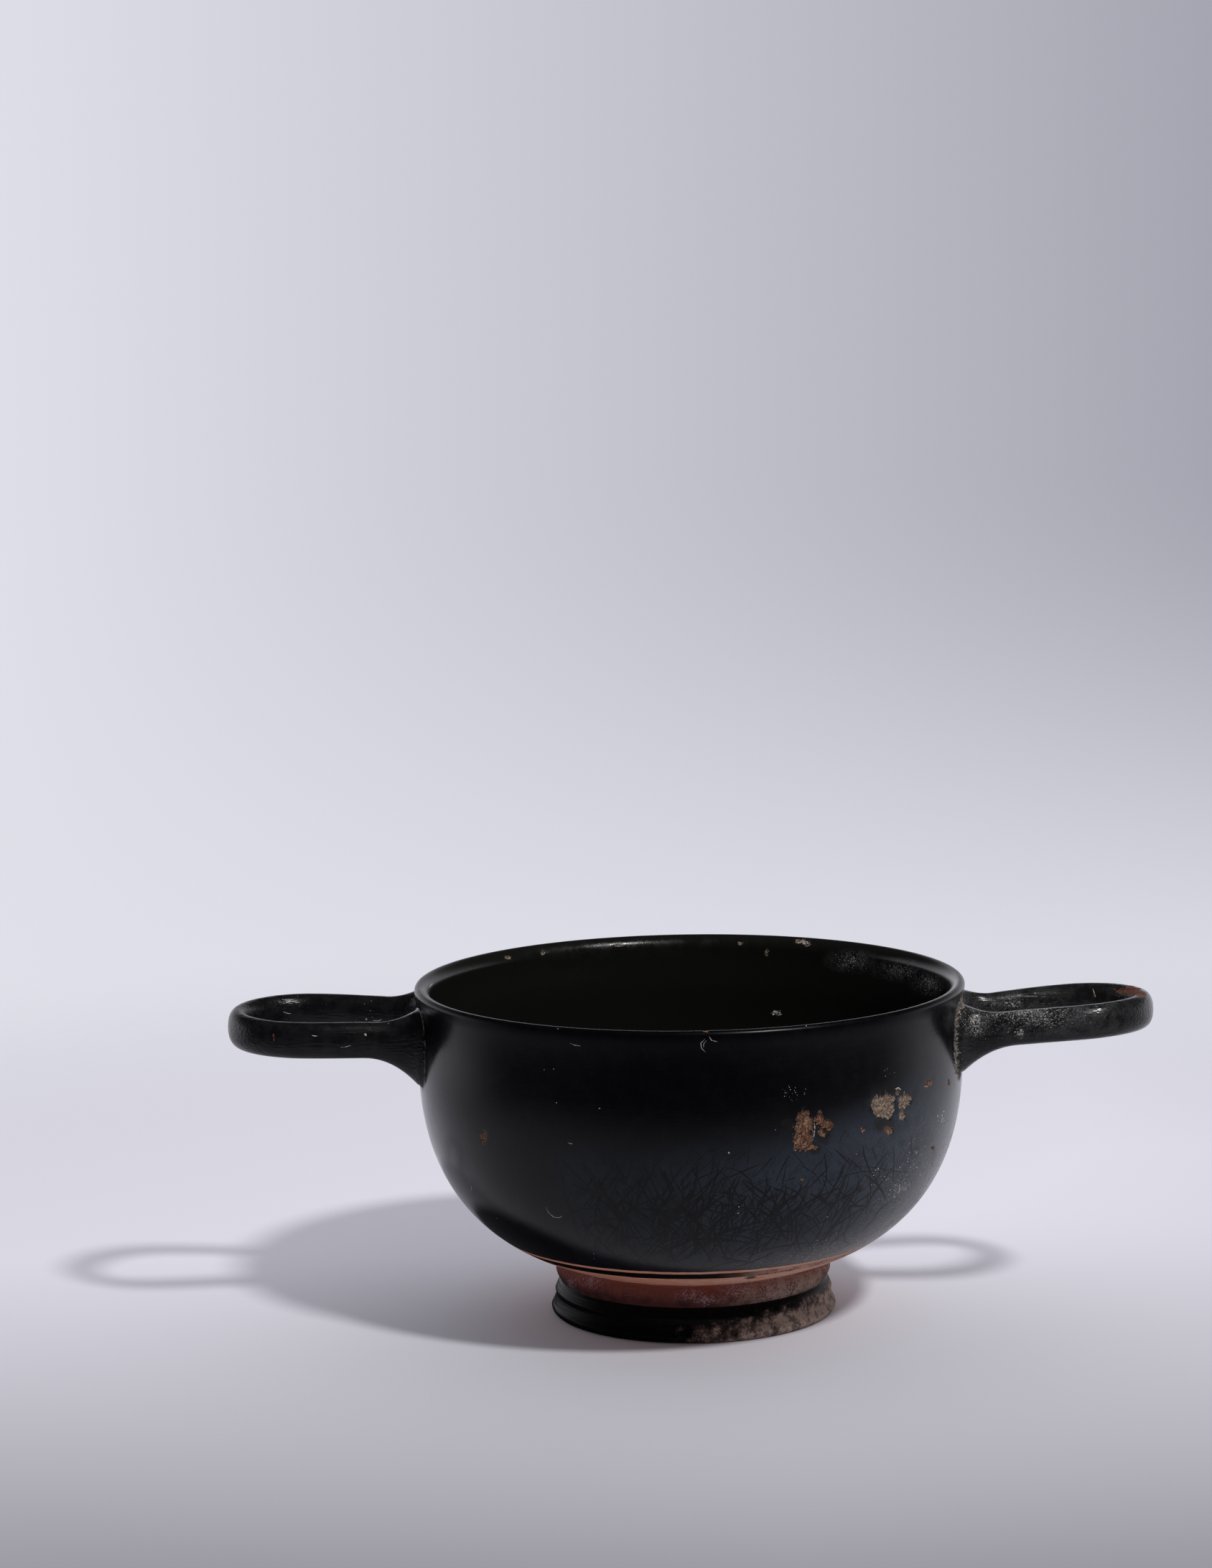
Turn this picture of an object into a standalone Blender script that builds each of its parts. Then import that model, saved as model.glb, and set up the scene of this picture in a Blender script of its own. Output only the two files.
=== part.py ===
"""Stemless kylix: a deep black-gloss drinking cup with a moulded ring foot and two loop handles.

Metres, +Z up. The origin is the centre of the foot's resting ring, and the handles lie along X.
The cup is one fired piece, so bowl, foot and handles are joined into one solid.
"""

import math

import bmesh
import bpy
from mathutils import Matrix, Vector

# Bowl: the rim, and where the wall below it is widest
RIM_RADIUS = 0.0625
CUP_HEIGHT = 0.0764
BELLY_INSET = 0.00055
BELLY_DROP = 0.0147
WALL = 0.0039
FLOOR_THICKNESS = 0.0055
FLOOR_FLAT_RADIUS = 0.0070

# Curve of the bowl: exponents of its rounded, square-shouldered outline
CURVE_DOWN = 2.48
CURVE_OUT = 2.80

# Lip: a rounded bead that stands out a little from the wall
LIP_WIDTH = 0.0030
LIP_ROUND = 0.0011
LIP_FACE = 0.0011
LIP_STEP = 0.0006

# Ring foot, from the ground up: flaring base, collar, groove and cushion moulding
FOOT_RADIUS = 0.0326
BASE_EDGE = 0.0014
BASE_HEIGHT = 0.0047
BASE_TAPER = 0.0012
BASE_HOLLOW = 1.5
COLLAR_HEIGHT = 0.0031
COLLAR_STEP = 0.0003
COLLAR_TAPER = 0.0006
COLLAR_EDGE = 0.0005
GROOVE_DEPTH = 0.0004
CUSHION_HEIGHT = 0.0050
CUSHION_BULGE = 0.0008
CUSHION_TOP_INSET = 0.0003

# Underside, inside the foot ring
RING_WIDTH = 0.0068
RING_INNER_SLOPE = 0.0020
RECESS_DEPTH = 0.0078
RECESS_CORNER = 0.0016
NIPPLE_RADIUS = 0.0078
NIPPLE_DROP = 0.0006

# Handles: a strap bent into a loop, with both ends luted to the wall under the lip
HANDLE_LENGTH = 0.0428
STRAND_HALF_WIDTH = 0.0026
TIP_HALF_WIDTH = 0.0024
LOOP_HALF_SPREAD = 0.0154
ROOT_HALF_SPREAD = 0.0129
LOOP_END_STRETCH = 1.03
SECTION_SQUARENESS = 2.3
RISE_CURVE = 1.6

# Flare of each strand into its root, and how far from the wall it begins
ROOT_FLARE_UP = 0.0010
ROOT_FLARE_IN = 0.0085
ROOT_FLARE_OUT = 0.0022
ROOT_WEB_GAP = 0.0010
FLARE_LENGTH_DOWN = 0.0135
FLARE_LENGTH_SIDE = 0.0070
FLARE_CURVE_DOWN = 2.2
FLARE_CURVE_SIDE = 2.4

# The two handles were bent by hand and differ. Lengths are in metres, turn and tilt in degrees
HANDLES = {
    "right": {
        "turn": 0.0,
        "tilt": -1.3,
        "root_drop": 0.0110,
        "rise": 0.0032,
        "half_height": 0.0039,
        "flare_down": 0.0054,
    },
    "left": {
        "turn": 180.0,
        "tilt": -1.7,
        "root_drop": 0.0103,
        "rise": 0.0011,
        "half_height": 0.0041,
        "flare_down": 0.0070,
    },
}

# Facets
SEGMENTS = 64
BOWL_STEPS = 15
LIP_STEPS = 6
ARC_STEPS = 3
CUSHION_STEPS = 5
SECTION_SIDES = 12
STRAND_STEPS = 9
STRAND_CROWDING = 1.35
END_STEPS = 14
SHARP_ANGLE = 35.0

# Levels and radii that several parts share
BELLY_RADIUS = RIM_RADIUS - BELLY_INSET
BELLY_HEIGHT = CUP_HEIGHT - BELLY_DROP
FOOT_HEIGHT = BASE_HEIGHT + COLLAR_HEIGHT + CUSHION_HEIGHT
WALL_MIDDLE = BELLY_RADIUS - WALL / 2
HANDLE_REACH = RIM_RADIUS + HANDLE_LENGTH

GLOSS_BLACK = (0.012, 0.012, 0.014, 1.0)
GLOSS_ROUGHNESS = 0.25


def clear_scene():
    for obj in list(bpy.data.objects):
        bpy.data.objects.remove(obj)


def gloss_material():
    material = bpy.data.materials.new("black_gloss")
    material.use_nodes = True
    shader = material.node_tree.nodes["Principled BSDF"]
    shader.inputs["Base Color"].default_value = GLOSS_BLACK
    shader.inputs["Roughness"].default_value = GLOSS_ROUGHNESS
    shader.inputs["Metallic"].default_value = 0.0
    return material


def ease(t):
    """0 to 1 with a level start and end."""
    return 0.5 - 0.5 * math.cos(math.pi * t)


def bowl_curve(widest, widest_height, bottom_height, first_radius, steps):
    """Points from first_radius out and up to the widest level, on the bowl's rounded outline."""
    first = math.asin((first_radius / widest) ** (CURVE_OUT / 2))
    points = []
    for step in range(steps + 1):
        angle = first + (math.pi / 2 - first) * step / steps
        radius = widest * math.sin(angle) ** (2 / CURVE_OUT)
        drop = max(math.cos(angle), 0.0) ** (2 / CURVE_DOWN)
        points.append((radius, widest_height - (widest_height - bottom_height) * drop))
    return points


def underside_outline():
    """From the centre of the recess out to the resting ring and its outer edge."""
    ring_outer = FOOT_RADIUS - BASE_EDGE
    ring_inner = ring_outer - RING_WIDTH
    recess_radius = ring_inner - RING_INNER_SLOPE
    return [
        (0.0, RECESS_DEPTH - NIPPLE_DROP),
        (NIPPLE_RADIUS, RECESS_DEPTH),
        (recess_radius - RECESS_CORNER, RECESS_DEPTH),
        (recess_radius, RECESS_DEPTH - RECESS_CORNER),
        (ring_inner, 0.0),
        (ring_outer, 0.0),
    ]


def base_outline():
    """The base's rounded resting edge and the hollow flare above it."""
    points = []
    for step in range(1, ARC_STEPS + 1):
        angle = math.pi / 2 * step / ARC_STEPS
        radius = FOOT_RADIUS - BASE_EDGE * (1 - math.sin(angle))
        points.append((radius, BASE_EDGE * (1 - math.cos(angle))))
    for step in range(1, ARC_STEPS + 1):
        t = step / ARC_STEPS
        hollow = 1 - (1 - t) ** BASE_HOLLOW
        height = BASE_EDGE + (BASE_HEIGHT - BASE_EDGE) * t
        points.append((FOOT_RADIUS - BASE_TAPER * hollow, height))
    return points


def foot_outline():
    """The foot's outer mouldings, from the resting edge up to where the bowl begins."""
    points = base_outline()
    collar_bottom = FOOT_RADIUS - BASE_TAPER + COLLAR_STEP
    collar_top = collar_bottom - COLLAR_STEP - COLLAR_TAPER
    groove_height = BASE_HEIGHT + COLLAR_HEIGHT
    groove_radius = collar_top - GROOVE_DEPTH
    points.append((collar_bottom, BASE_HEIGHT + COLLAR_EDGE))
    points.append((collar_top, groove_height - COLLAR_EDGE))
    points.append((groove_radius, groove_height))
    for step in range(1, CUSHION_STEPS + 1):
        t = step / CUSHION_STEPS
        bulge = (CUSHION_BULGE + GROOVE_DEPTH) * math.sin(math.pi * t)
        radius = groove_radius - CUSHION_TOP_INSET * t + bulge
        points.append((radius, groove_height + CUSHION_HEIGHT * t))
    return points


def outer_wall_outline(join_radius):
    """From the foot join up over the belly to the underside of the lip."""
    share = (1 - (join_radius / BELLY_RADIUS) ** CURVE_OUT) ** (1 / CURVE_DOWN)
    bottom = BELLY_HEIGHT - (BELLY_HEIGHT - FOOT_HEIGHT) / share
    points = bowl_curve(BELLY_RADIUS, BELLY_HEIGHT, bottom, join_radius, BOWL_STEPS)[1:]
    neck_radius = RIM_RADIUS - LIP_STEP
    neck_height = CUP_HEIGHT - LIP_ROUND - LIP_FACE - LIP_STEP
    for step in range(1, ARC_STEPS + 1):
        t = step / ARC_STEPS
        radius = BELLY_RADIUS + (neck_radius - BELLY_RADIUS) * ease(t)
        points.append((radius, BELLY_HEIGHT + (neck_height - BELLY_HEIGHT) * t))
    return points


def lip_outline():
    """The lip's outer face and its rounded top, over to its inner edge."""
    middle = RIM_RADIUS - LIP_WIDTH / 2
    height = CUP_HEIGHT - LIP_ROUND
    points = [(RIM_RADIUS, height - LIP_FACE)]
    for step in range(LIP_STEPS + 1):
        angle = math.pi * step / LIP_STEPS
        radius = middle + LIP_WIDTH / 2 * math.cos(angle)
        points.append((radius, height + LIP_ROUND * math.sin(angle)))
    return points


def inner_wall_outline():
    """From below the lip's inner edge down the inside of the bowl to the middle of the floor."""
    inner_radius = BELLY_RADIUS - WALL
    floor = RECESS_DEPTH - NIPPLE_DROP + FLOOR_THICKNESS
    lip_inner = RIM_RADIUS - LIP_WIDTH
    lip_height = CUP_HEIGHT - LIP_ROUND
    points = []
    for step in range(1, ARC_STEPS + 1):
        t = step / (ARC_STEPS + 1)
        radius = lip_inner + (inner_radius - lip_inner) * math.sin(math.pi / 2 * t)
        points.append((radius, lip_height + (BELLY_HEIGHT - lip_height) * t))
    curve = bowl_curve(inner_radius, BELLY_HEIGHT, floor, FLOOR_FLAT_RADIUS, BOWL_STEPS - 2)
    points += reversed(curve)
    points.append((0.0, floor))
    return points


def cup_outline():
    """Half the cup's section as (radius, height), from the underside's centre to the floor's centre."""
    foot = foot_outline()
    join_radius = foot[-1][0]
    outside = underside_outline() + foot + outer_wall_outline(join_radius)
    return outside + lip_outline() + inner_wall_outline()


def turned_mesh(name, outline):
    """The outline spun about Z into one closed mesh."""
    mesh = bpy.data.meshes.new(name)
    shape = bmesh.new()
    verts = [shape.verts.new((radius, 0.0, height)) for radius, height in outline]
    edges = [shape.edges.new(pair) for pair in zip(verts, verts[1:])]
    bmesh.ops.spin(
        shape,
        geom=verts + edges,
        cent=(0.0, 0.0, 0.0),
        axis=(0.0, 0.0, 1.0),
        angle=math.tau,
        steps=SEGMENTS,
        use_merge=True,
    )
    bmesh.ops.remove_doubles(shape, verts=shape.verts, dist=1e-6)
    bmesh.ops.recalc_face_normals(shape, faces=shape.faces)
    shape.to_mesh(mesh)
    shape.free()
    return mesh


def half_loop():
    """Centre line of one strand in plan, as (along, across), from inside the wall to the tip."""
    tip_along = HANDLE_REACH - TIP_HALF_WIDTH
    end_length = LOOP_HALF_SPREAD * LOOP_END_STRETCH
    end_start = tip_along - end_length
    points = []
    for step in range(STRAND_STEPS):
        t = (step / STRAND_STEPS) ** STRAND_CROWDING
        across = ROOT_HALF_SPREAD + (LOOP_HALF_SPREAD - ROOT_HALF_SPREAD) * ease(t)
        points.append((WALL_MIDDLE + (end_start - WALL_MIDDLE) * t, across))
    quarter_steps = END_STEPS // 2
    for step in range(quarter_steps + 1):
        angle = math.pi / 2 * step / quarter_steps
        along = end_start + end_length * math.sin(angle)
        points.append((along, LOOP_HALF_SPREAD * math.cos(angle)))
    return points


def loop_line():
    """The whole centre line in plan, from the near root round the tip to the far root."""
    half = half_loop()
    near = [(along, -across) for along, across in half]
    far = list(reversed(half))[1:]
    return near + far


def rounded(value):
    """A cosine or sine drawn out towards a squarer section."""
    return math.copysign(abs(value) ** (2 / SECTION_SQUARENESS), value)


def strand_section(handle, from_wall, at_tip):
    """Offsets (outwards, up) round the strand, this far from the wall. It flares into its root."""
    down = max(1 - from_wall / FLARE_LENGTH_DOWN, 0.0) ** FLARE_CURVE_DOWN
    sideways = max(1 - from_wall / FLARE_LENGTH_SIDE, 0.0) ** FLARE_CURVE_SIDE
    half_width = STRAND_HALF_WIDTH + (TIP_HALF_WIDTH - STRAND_HALF_WIDTH) * at_tip
    widest_web = ROOT_HALF_SPREAD - half_width - ROOT_WEB_GAP
    outer = half_width + ROOT_FLARE_OUT * sideways
    inner = half_width + min(ROOT_FLARE_IN, widest_web) * sideways
    top = handle["half_height"] + ROOT_FLARE_UP * sideways
    bottom = handle["half_height"] + handle["flare_down"] * down
    offsets = []
    for corner in range(SECTION_SIDES):
        angle = math.tau * (corner + 0.5) / SECTION_SIDES
        out = rounded(math.cos(angle))
        up = rounded(math.sin(angle))
        offsets.append((out * (outer if out > 0 else inner), up * (top if up > 0 else bottom)))
    return offsets


def strand_ring(handle, line, index):
    """Corners of one section of the strap, before the handle is tilted and turned."""
    along, across = line[index]
    last = len(line) - 1
    before = Vector(line[max(index - 1, 0)])
    after = Vector(line[min(index + 1, last)])
    direction = (after - before).normalized()
    outwards = Vector((direction.y, -direction.x))
    from_wall = max(along - math.sqrt(BELLY_RADIUS**2 - across**2), 0.0)
    at_tip = max(1 - abs(across) / LOOP_HALF_SPREAD, 0.0)
    share = min(max((along - BELLY_RADIUS) / (HANDLE_REACH - BELLY_RADIUS), 0.0), 1.0)
    rise = handle["rise"] * (1 - (1 - share) ** RISE_CURVE)
    height = CUP_HEIGHT - handle["root_drop"] + rise
    corners = []
    for out, up in strand_section(handle, from_wall, at_tip):
        corner = Vector((along + outwards.x * out, across + outwards.y * out, height + up))
        if index in (0, last):
            corner.x = math.sqrt(WALL_MIDDLE**2 - corner.y**2)
        corners.append(corner)
    return corners


def handle_mesh(name, handle):
    """One handle as a closed strap, its two end faces inside the bowl's wall."""
    line = loop_line()
    tilt = Matrix.Rotation(math.radians(handle["tilt"]), 3, "X")
    turn = Matrix.Rotation(math.radians(handle["turn"]), 3, "Z")
    pivot = Vector((0.0, 0.0, CUP_HEIGHT - handle["root_drop"]))
    mesh = bpy.data.meshes.new(name)
    shape = bmesh.new()
    rings = []
    for index in range(len(line)):
        corners = strand_ring(handle, line, index)
        placed = [turn @ (pivot + tilt @ (corner - pivot)) for corner in corners]
        rings.append([shape.verts.new(corner) for corner in placed])
    for first, second in zip(rings, rings[1:]):
        for corner in range(SECTION_SIDES):
            following = (corner + 1) % SECTION_SIDES
            shape.faces.new((first[corner], first[following], second[following], second[corner]))
    shape.faces.new(rings[0])
    shape.faces.new(rings[-1])
    bmesh.ops.recalc_face_normals(shape, faces=shape.faces)
    shape.to_mesh(mesh)
    shape.free()
    return mesh


def build_cup():
    collection = bpy.context.scene.collection
    cup = bpy.data.objects.new("kylix_cup", turned_mesh("kylix_cup", cup_outline()))
    collection.objects.link(cup)
    for side, handle in HANDLES.items():
        strap = bpy.data.objects.new(f"{side}_handle", handle_mesh(f"{side}_handle", handle))
        collection.objects.link(strap)
        strap.hide_render = True
        strap.display_type = "WIRE"
        join = cup.modifiers.new(f"join_{side}_handle", "BOOLEAN")
        join.operation = "UNION"
        join.solver = "EXACT"
        join.object = strap
    cup.data.materials.append(gloss_material())
    cup.data.shade_smooth()
    cup.data.set_sharp_from_angle(angle=math.radians(SHARP_ANGLE))
    return cup


clear_scene()
build_cup()
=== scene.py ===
"""Stemless black-gloss kylix: worn slip, chips and lime deposits, on a pale floor under one soft light.

Metres, +Z up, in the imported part's frame. The cup is one turned and luted piece: the mesh here
repeats the construction's sizes with finer steps, and adds the chips, the seams and the deposits.
"""

import math
import random

import bmesh
import bpy
import numpy as np
from mathutils import Matrix, Vector, noise
from mathutils.bvhtree import BVHTree
from mathutils.kdtree import KDTree


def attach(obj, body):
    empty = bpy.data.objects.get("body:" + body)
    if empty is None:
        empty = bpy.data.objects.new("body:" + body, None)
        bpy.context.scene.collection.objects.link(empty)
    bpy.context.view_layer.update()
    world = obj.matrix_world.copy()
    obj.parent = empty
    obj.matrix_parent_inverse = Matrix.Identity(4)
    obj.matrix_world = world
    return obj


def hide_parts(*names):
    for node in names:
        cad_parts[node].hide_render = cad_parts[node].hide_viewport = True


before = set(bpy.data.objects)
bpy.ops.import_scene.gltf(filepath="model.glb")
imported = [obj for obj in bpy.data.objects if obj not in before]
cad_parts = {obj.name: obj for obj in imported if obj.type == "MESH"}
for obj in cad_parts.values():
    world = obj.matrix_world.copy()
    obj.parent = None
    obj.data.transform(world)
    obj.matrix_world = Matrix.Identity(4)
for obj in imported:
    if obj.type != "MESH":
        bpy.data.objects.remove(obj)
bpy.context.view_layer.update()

# The photograph's frame and the camera that was fitted to it
PHOTO_WIDTH = 1688
PHOTO_HEIGHT = 2184
FOCAL_PIXELS = 5575.4
PIXELS_PER_MM = 6.08
MM = 1000.0
SENSOR_WIDTH = 36.0
CAMERA_CLIP = (0.05, 20.0)
CAMERA_PLACE = Vector((0.0, -0.89771, 0.23873))
CAMERA_PITCH = 0.1298
CAMERA_ROLL = -0.0170
CAMERA_YAW = -0.0202

# Bowl, as in the construction
RIM_RADIUS = 0.0625
CUP_HEIGHT = 0.0764
BELLY_RADIUS = RIM_RADIUS - 0.00055
BELLY_HEIGHT = CUP_HEIGHT - 0.0147
WALL = 0.0039
WALL_MIDDLE = BELLY_RADIUS - WALL / 2
FLOOR_THICKNESS = 0.0055
FLOOR_FLAT_RADIUS = 0.0070
CURVE_DOWN = 2.48
CURVE_OUT = 2.80
LIP_ROUND = 0.0011
LIP_FLARE = 3.0
LIP_CREST = 0.0010
LIP_INNER_WIDTH = 0.0026
LIP_INNER_DROP = 0.0030

# Ring foot, as in the construction
FOOT_RADIUS = 0.0326
BASE_EDGE = 0.0014
BASE_HEIGHT = 0.0047
BASE_TAPER = 0.0012
BASE_HOLLOW = 1.5
COLLAR_HEIGHT = 0.0031
COLLAR_STEP = 0.0003
COLLAR_TAPER = 0.0006
COLLAR_EDGE = 0.0005
GROOVE_DEPTH = 0.0004
CUSHION_HEIGHT = 0.0050
CUSHION_BULGE = 0.0008
CUSHION_TOP_INSET = 0.0003
FOOT_HEIGHT = BASE_HEIGHT + COLLAR_HEIGHT + CUSHION_HEIGHT
RING_WIDTH = 0.0068
RING_INNER_SLOPE = 0.0020
RECESS_DEPTH = 0.0078
RECESS_CORNER = 0.0016
NIPPLE_RADIUS = 0.0078
NIPPLE_DROP = 0.0006
FLOOR_HEIGHT = RECESS_DEPTH - NIPPLE_DROP + FLOOR_THICKNESS

# Handles, as in the construction
HANDLE_LENGTH = 0.0428
HANDLE_REACH = RIM_RADIUS + HANDLE_LENGTH
STRAND_HALF_WIDTH = 0.0026
TIP_HALF_WIDTH = 0.0024
LOOP_HALF_SPREAD = 0.0154
ROOT_HALF_SPREAD = 0.0129
LOOP_END_STRETCH = 1.03
SECTION_SQUARENESS = 2.3
RISE_CURVE = 1.6
ROOT_FLARE_UP = 0.0032
ROOT_FLARE_IN = 0.0085
ROOT_FLARE_OUT = 0.0022
ROOT_WEB_GAP = 0.0010
FLARE_LENGTH_DOWN = 0.0135
FLARE_LENGTH_SIDE = 0.0070
FLARE_LENGTH_UP = 0.0095
FLARE_CURVE_DOWN = 2.2
FLARE_CURVE_SIDE = 2.4
FLARE_CURVE_UP = 1.9
HANDLES = {
    "right": {
        "turn": 0.0,
        "tilt": -1.3,
        "root_drop": 0.0110,
        "rise": 0.0032,
        "half_height": 0.0039,
        "flare_down": 0.0054,
    },
    "left": {
        "turn": 180.0,
        "tilt": -1.7,
        "root_drop": 0.0103,
        "rise": 0.0011,
        "half_height": 0.0041,
        "flare_down": 0.0070,
    },
}

# Fineness of the mesh
FRONT_SEGMENTS = 160
BACK_SEGMENTS = 96
WALL_ROWS = 90
NECK_ROWS = 13
INSIDE_ROWS = 56
INSIDE_LIP_ROWS = 11
FLAT_ROWS = 4
ARC_ROWS = 6
LIP_ROWS = 14
CUSHION_ROWS = 14
UNDERSIDE_SPACING = 0.0014
COLLAR_SPACING = 0.0004
SECTION_SIDES = 32
STRAND_STEPS = 34
STRAND_CROWDING = 1.35
END_STEPS = 44

SEED = 7


def rounded(value):
    """A cosine or sine drawn out towards a squarer section."""
    return math.copysign(abs(value) ** (2 / SECTION_SQUARENESS), value)


def ease(t):
    """0 to 1 with a level start and end."""
    return 0.5 - 0.5 * math.cos(math.pi * t)


def steps(count):
    """Equal shares of a way, from the first step up to 1."""
    return [step / count for step in range(1, count + 1)]


def quarter(count):
    """(sine, cosine) over a quarter turn, in equal steps after its start."""
    return [(math.sin(math.pi / 2 * t), math.cos(math.pi / 2 * t)) for t in steps(count)]


# The bowl's and foot's outline


def bowl_curve(widest, bottom_height, first_radius, count):
    """Points from first_radius out and up to the widest level, on the bowl's rounded outline."""
    first = math.asin((first_radius / widest) ** (CURVE_OUT / 2))
    points = []
    for t in (0.0, *steps(count)):
        angle = first + (math.pi / 2 - first) * t
        radius = widest * math.sin(angle) ** (2 / CURVE_OUT)
        drop = max(math.cos(angle), 0.0) ** (2 / CURVE_DOWN)
        points.append((radius, BELLY_HEIGHT - (BELLY_HEIGHT - bottom_height) * drop))
    return points


def filled(points, spacing):
    """The same corners, with more points along each straight stretch."""
    result = [points[0]]
    for (r0, z0), (r1, z1) in zip(points, points[1:]):
        count = max(1, round(math.hypot(r1 - r0, z1 - z0) / spacing))
        result += [(r0 + (r1 - r0) * t, z0 + (z1 - z0) * t) for t in steps(count)]
    return result


def underside_outline():
    ring_outer = FOOT_RADIUS - BASE_EDGE
    ring_inner = ring_outer - RING_WIDTH
    recess_radius = ring_inner - RING_INNER_SLOPE
    points = [(0.0, RECESS_DEPTH - NIPPLE_DROP)]
    points += [(NIPPLE_RADIUS * t, RECESS_DEPTH - NIPPLE_DROP * (1 - ease(t))) for t in steps(ARC_ROWS)]
    points.append((recess_radius - RECESS_CORNER, RECESS_DEPTH))
    for sine, cosine in quarter(ARC_ROWS):
        radius = recess_radius - RECESS_CORNER * (1 - sine)
        points.append((radius, RECESS_DEPTH - RECESS_CORNER * (1 - cosine)))
    points += [(ring_inner, 0.0), (ring_outer, 0.0)]
    return filled(points, UNDERSIDE_SPACING)


def foot_outline():
    points = []
    for sine, cosine in quarter(ARC_ROWS):
        points.append((FOOT_RADIUS - BASE_EDGE * (1 - sine), BASE_EDGE * (1 - cosine)))
    for t in steps(ARC_ROWS):
        hollow = 1 - (1 - t) ** BASE_HOLLOW
        points.append((FOOT_RADIUS - BASE_TAPER * hollow, BASE_EDGE + (BASE_HEIGHT - BASE_EDGE) * t))
    collar_bottom = FOOT_RADIUS - BASE_TAPER + COLLAR_STEP
    collar_top = collar_bottom - COLLAR_STEP - COLLAR_TAPER
    groove_height = BASE_HEIGHT + COLLAR_HEIGHT
    groove_radius = collar_top - GROOVE_DEPTH
    collar = [
        points[-1],
        (collar_bottom, BASE_HEIGHT + COLLAR_EDGE),
        (collar_top, groove_height - COLLAR_EDGE),
        (groove_radius, groove_height),
    ]
    points += filled(collar, COLLAR_SPACING)[1:]
    for t in steps(CUSHION_ROWS):
        bulge = (CUSHION_BULGE + GROOVE_DEPTH) * math.sin(math.pi * t)
        points.append((groove_radius - CUSHION_TOP_INSET * t + bulge, groove_height + CUSHION_HEIGHT * t))
    return points


JOIN_RADIUS = foot_outline()[-1][0]
JOIN_SHARE = (1 - (JOIN_RADIUS / BELLY_RADIUS) ** CURVE_OUT) ** (1 / CURVE_DOWN)
BOWL_BOTTOM = BELLY_HEIGHT - (BELLY_HEIGHT - FOOT_HEIGHT) / JOIN_SHARE
NECK_TOP = CUP_HEIGHT - LIP_ROUND


def outer_wall_outline():
    points = bowl_curve(BELLY_RADIUS, BOWL_BOTTOM, JOIN_RADIUS, WALL_ROWS)[1:]
    for t in steps(NECK_ROWS):
        radius = BELLY_RADIUS + (RIM_RADIUS - BELLY_RADIUS) * t**LIP_FLARE
        points.append((radius, BELLY_HEIGHT + (NECK_TOP - BELLY_HEIGHT) * t))
    return points


def lip_outline():
    """The lip from its outer face over the crest and down its softer inner side."""
    crest = RIM_RADIUS - LIP_CREST
    points = []
    for sine, cosine in quarter(LIP_ROWS // 2):
        points.append((crest + LIP_CREST * cosine, NECK_TOP + LIP_ROUND * sine))
    for sine, cosine in quarter(LIP_ROWS)[:-1]:
        points.append((crest - LIP_INNER_WIDTH * sine, CUP_HEIGHT - LIP_INNER_DROP * (1 - cosine)))
    return points


def inner_wall_outline():
    inner_radius = BELLY_RADIUS - WALL
    lip_radius = RIM_RADIUS - LIP_CREST - LIP_INNER_WIDTH
    lip_height = CUP_HEIGHT - LIP_INNER_DROP
    points = []
    for t in (0.0, *steps(INSIDE_LIP_ROWS)[:-1]):
        radius = lip_radius + (inner_radius - lip_radius) * ease(t)
        points.append((radius, lip_height + (BELLY_HEIGHT - lip_height) * t))
    points += reversed(bowl_curve(inner_radius, FLOOR_HEIGHT, FLOOR_FLAT_RADIUS, INSIDE_ROWS))
    points += [(FLOOR_FLAT_RADIUS * (1 - t), FLOOR_HEIGHT) for t in steps(FLAT_ROWS)]
    return points


def cup_outline():
    outside = underside_outline() + foot_outline() + outer_wall_outline()
    return outside + lip_outline() + inner_wall_outline()


def outer_radius(height):
    """Radius of the bowl's outer wall at a height above the foot."""
    depth = np.clip((BELLY_HEIGHT - height) / (BELLY_HEIGHT - BOWL_BOTTOM), 0.0, 1.0)
    return BELLY_RADIUS * (1 - depth**CURVE_DOWN) ** (1 / CURVE_OUT)


def wall_radius(height):
    """Radius of the outer wall, neck included."""
    rise = np.clip((height - BELLY_HEIGHT) / (NECK_TOP - BELLY_HEIGHT), 0.0, 1.0)
    neck = BELLY_RADIUS + (RIM_RADIUS - BELLY_RADIUS) * rise**LIP_FLARE
    return np.where(height < BELLY_HEIGHT, outer_radius(height), neck)


# The meshes


def new_mesh(name, shape):
    mesh = bpy.data.meshes.new(name)
    shape.to_mesh(mesh)
    shape.free()
    return mesh


def new_object(name, data):
    """A new object in the scene."""
    made = bpy.data.objects.new(name, data)
    bpy.context.scene.collection.objects.link(made)
    return made


def turned_shape():
    """The outline turned about Z into one closed bmesh, with finer steps in front, where the chips are."""
    outline = cup_outline()
    angles = [-math.pi + math.pi * step / FRONT_SEGMENTS for step in range(FRONT_SEGMENTS)]
    angles += [math.pi * step / BACK_SEGMENTS for step in range(BACK_SEGMENTS)]
    shape = bmesh.new()
    first = shape.verts.new((0.0, 0.0, outline[0][1]))
    last = shape.verts.new((0.0, 0.0, outline[-1][1]))
    rows = []
    for radius, height in outline[1:-1]:
        rows.append([shape.verts.new((radius * math.cos(a), radius * math.sin(a), height)) for a in angles])
    for index in range(len(angles)):
        following = (index + 1) % len(angles)
        shape.faces.new((first, rows[0][following], rows[0][index]))
        for low, high in zip(rows, rows[1:]):
            shape.faces.new((low[index], low[following], high[following], high[index]))
        shape.faces.new((last, rows[-1][index], rows[-1][following]))
    bmesh.ops.recalc_face_normals(shape, faces=shape.faces)
    return shape


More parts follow.
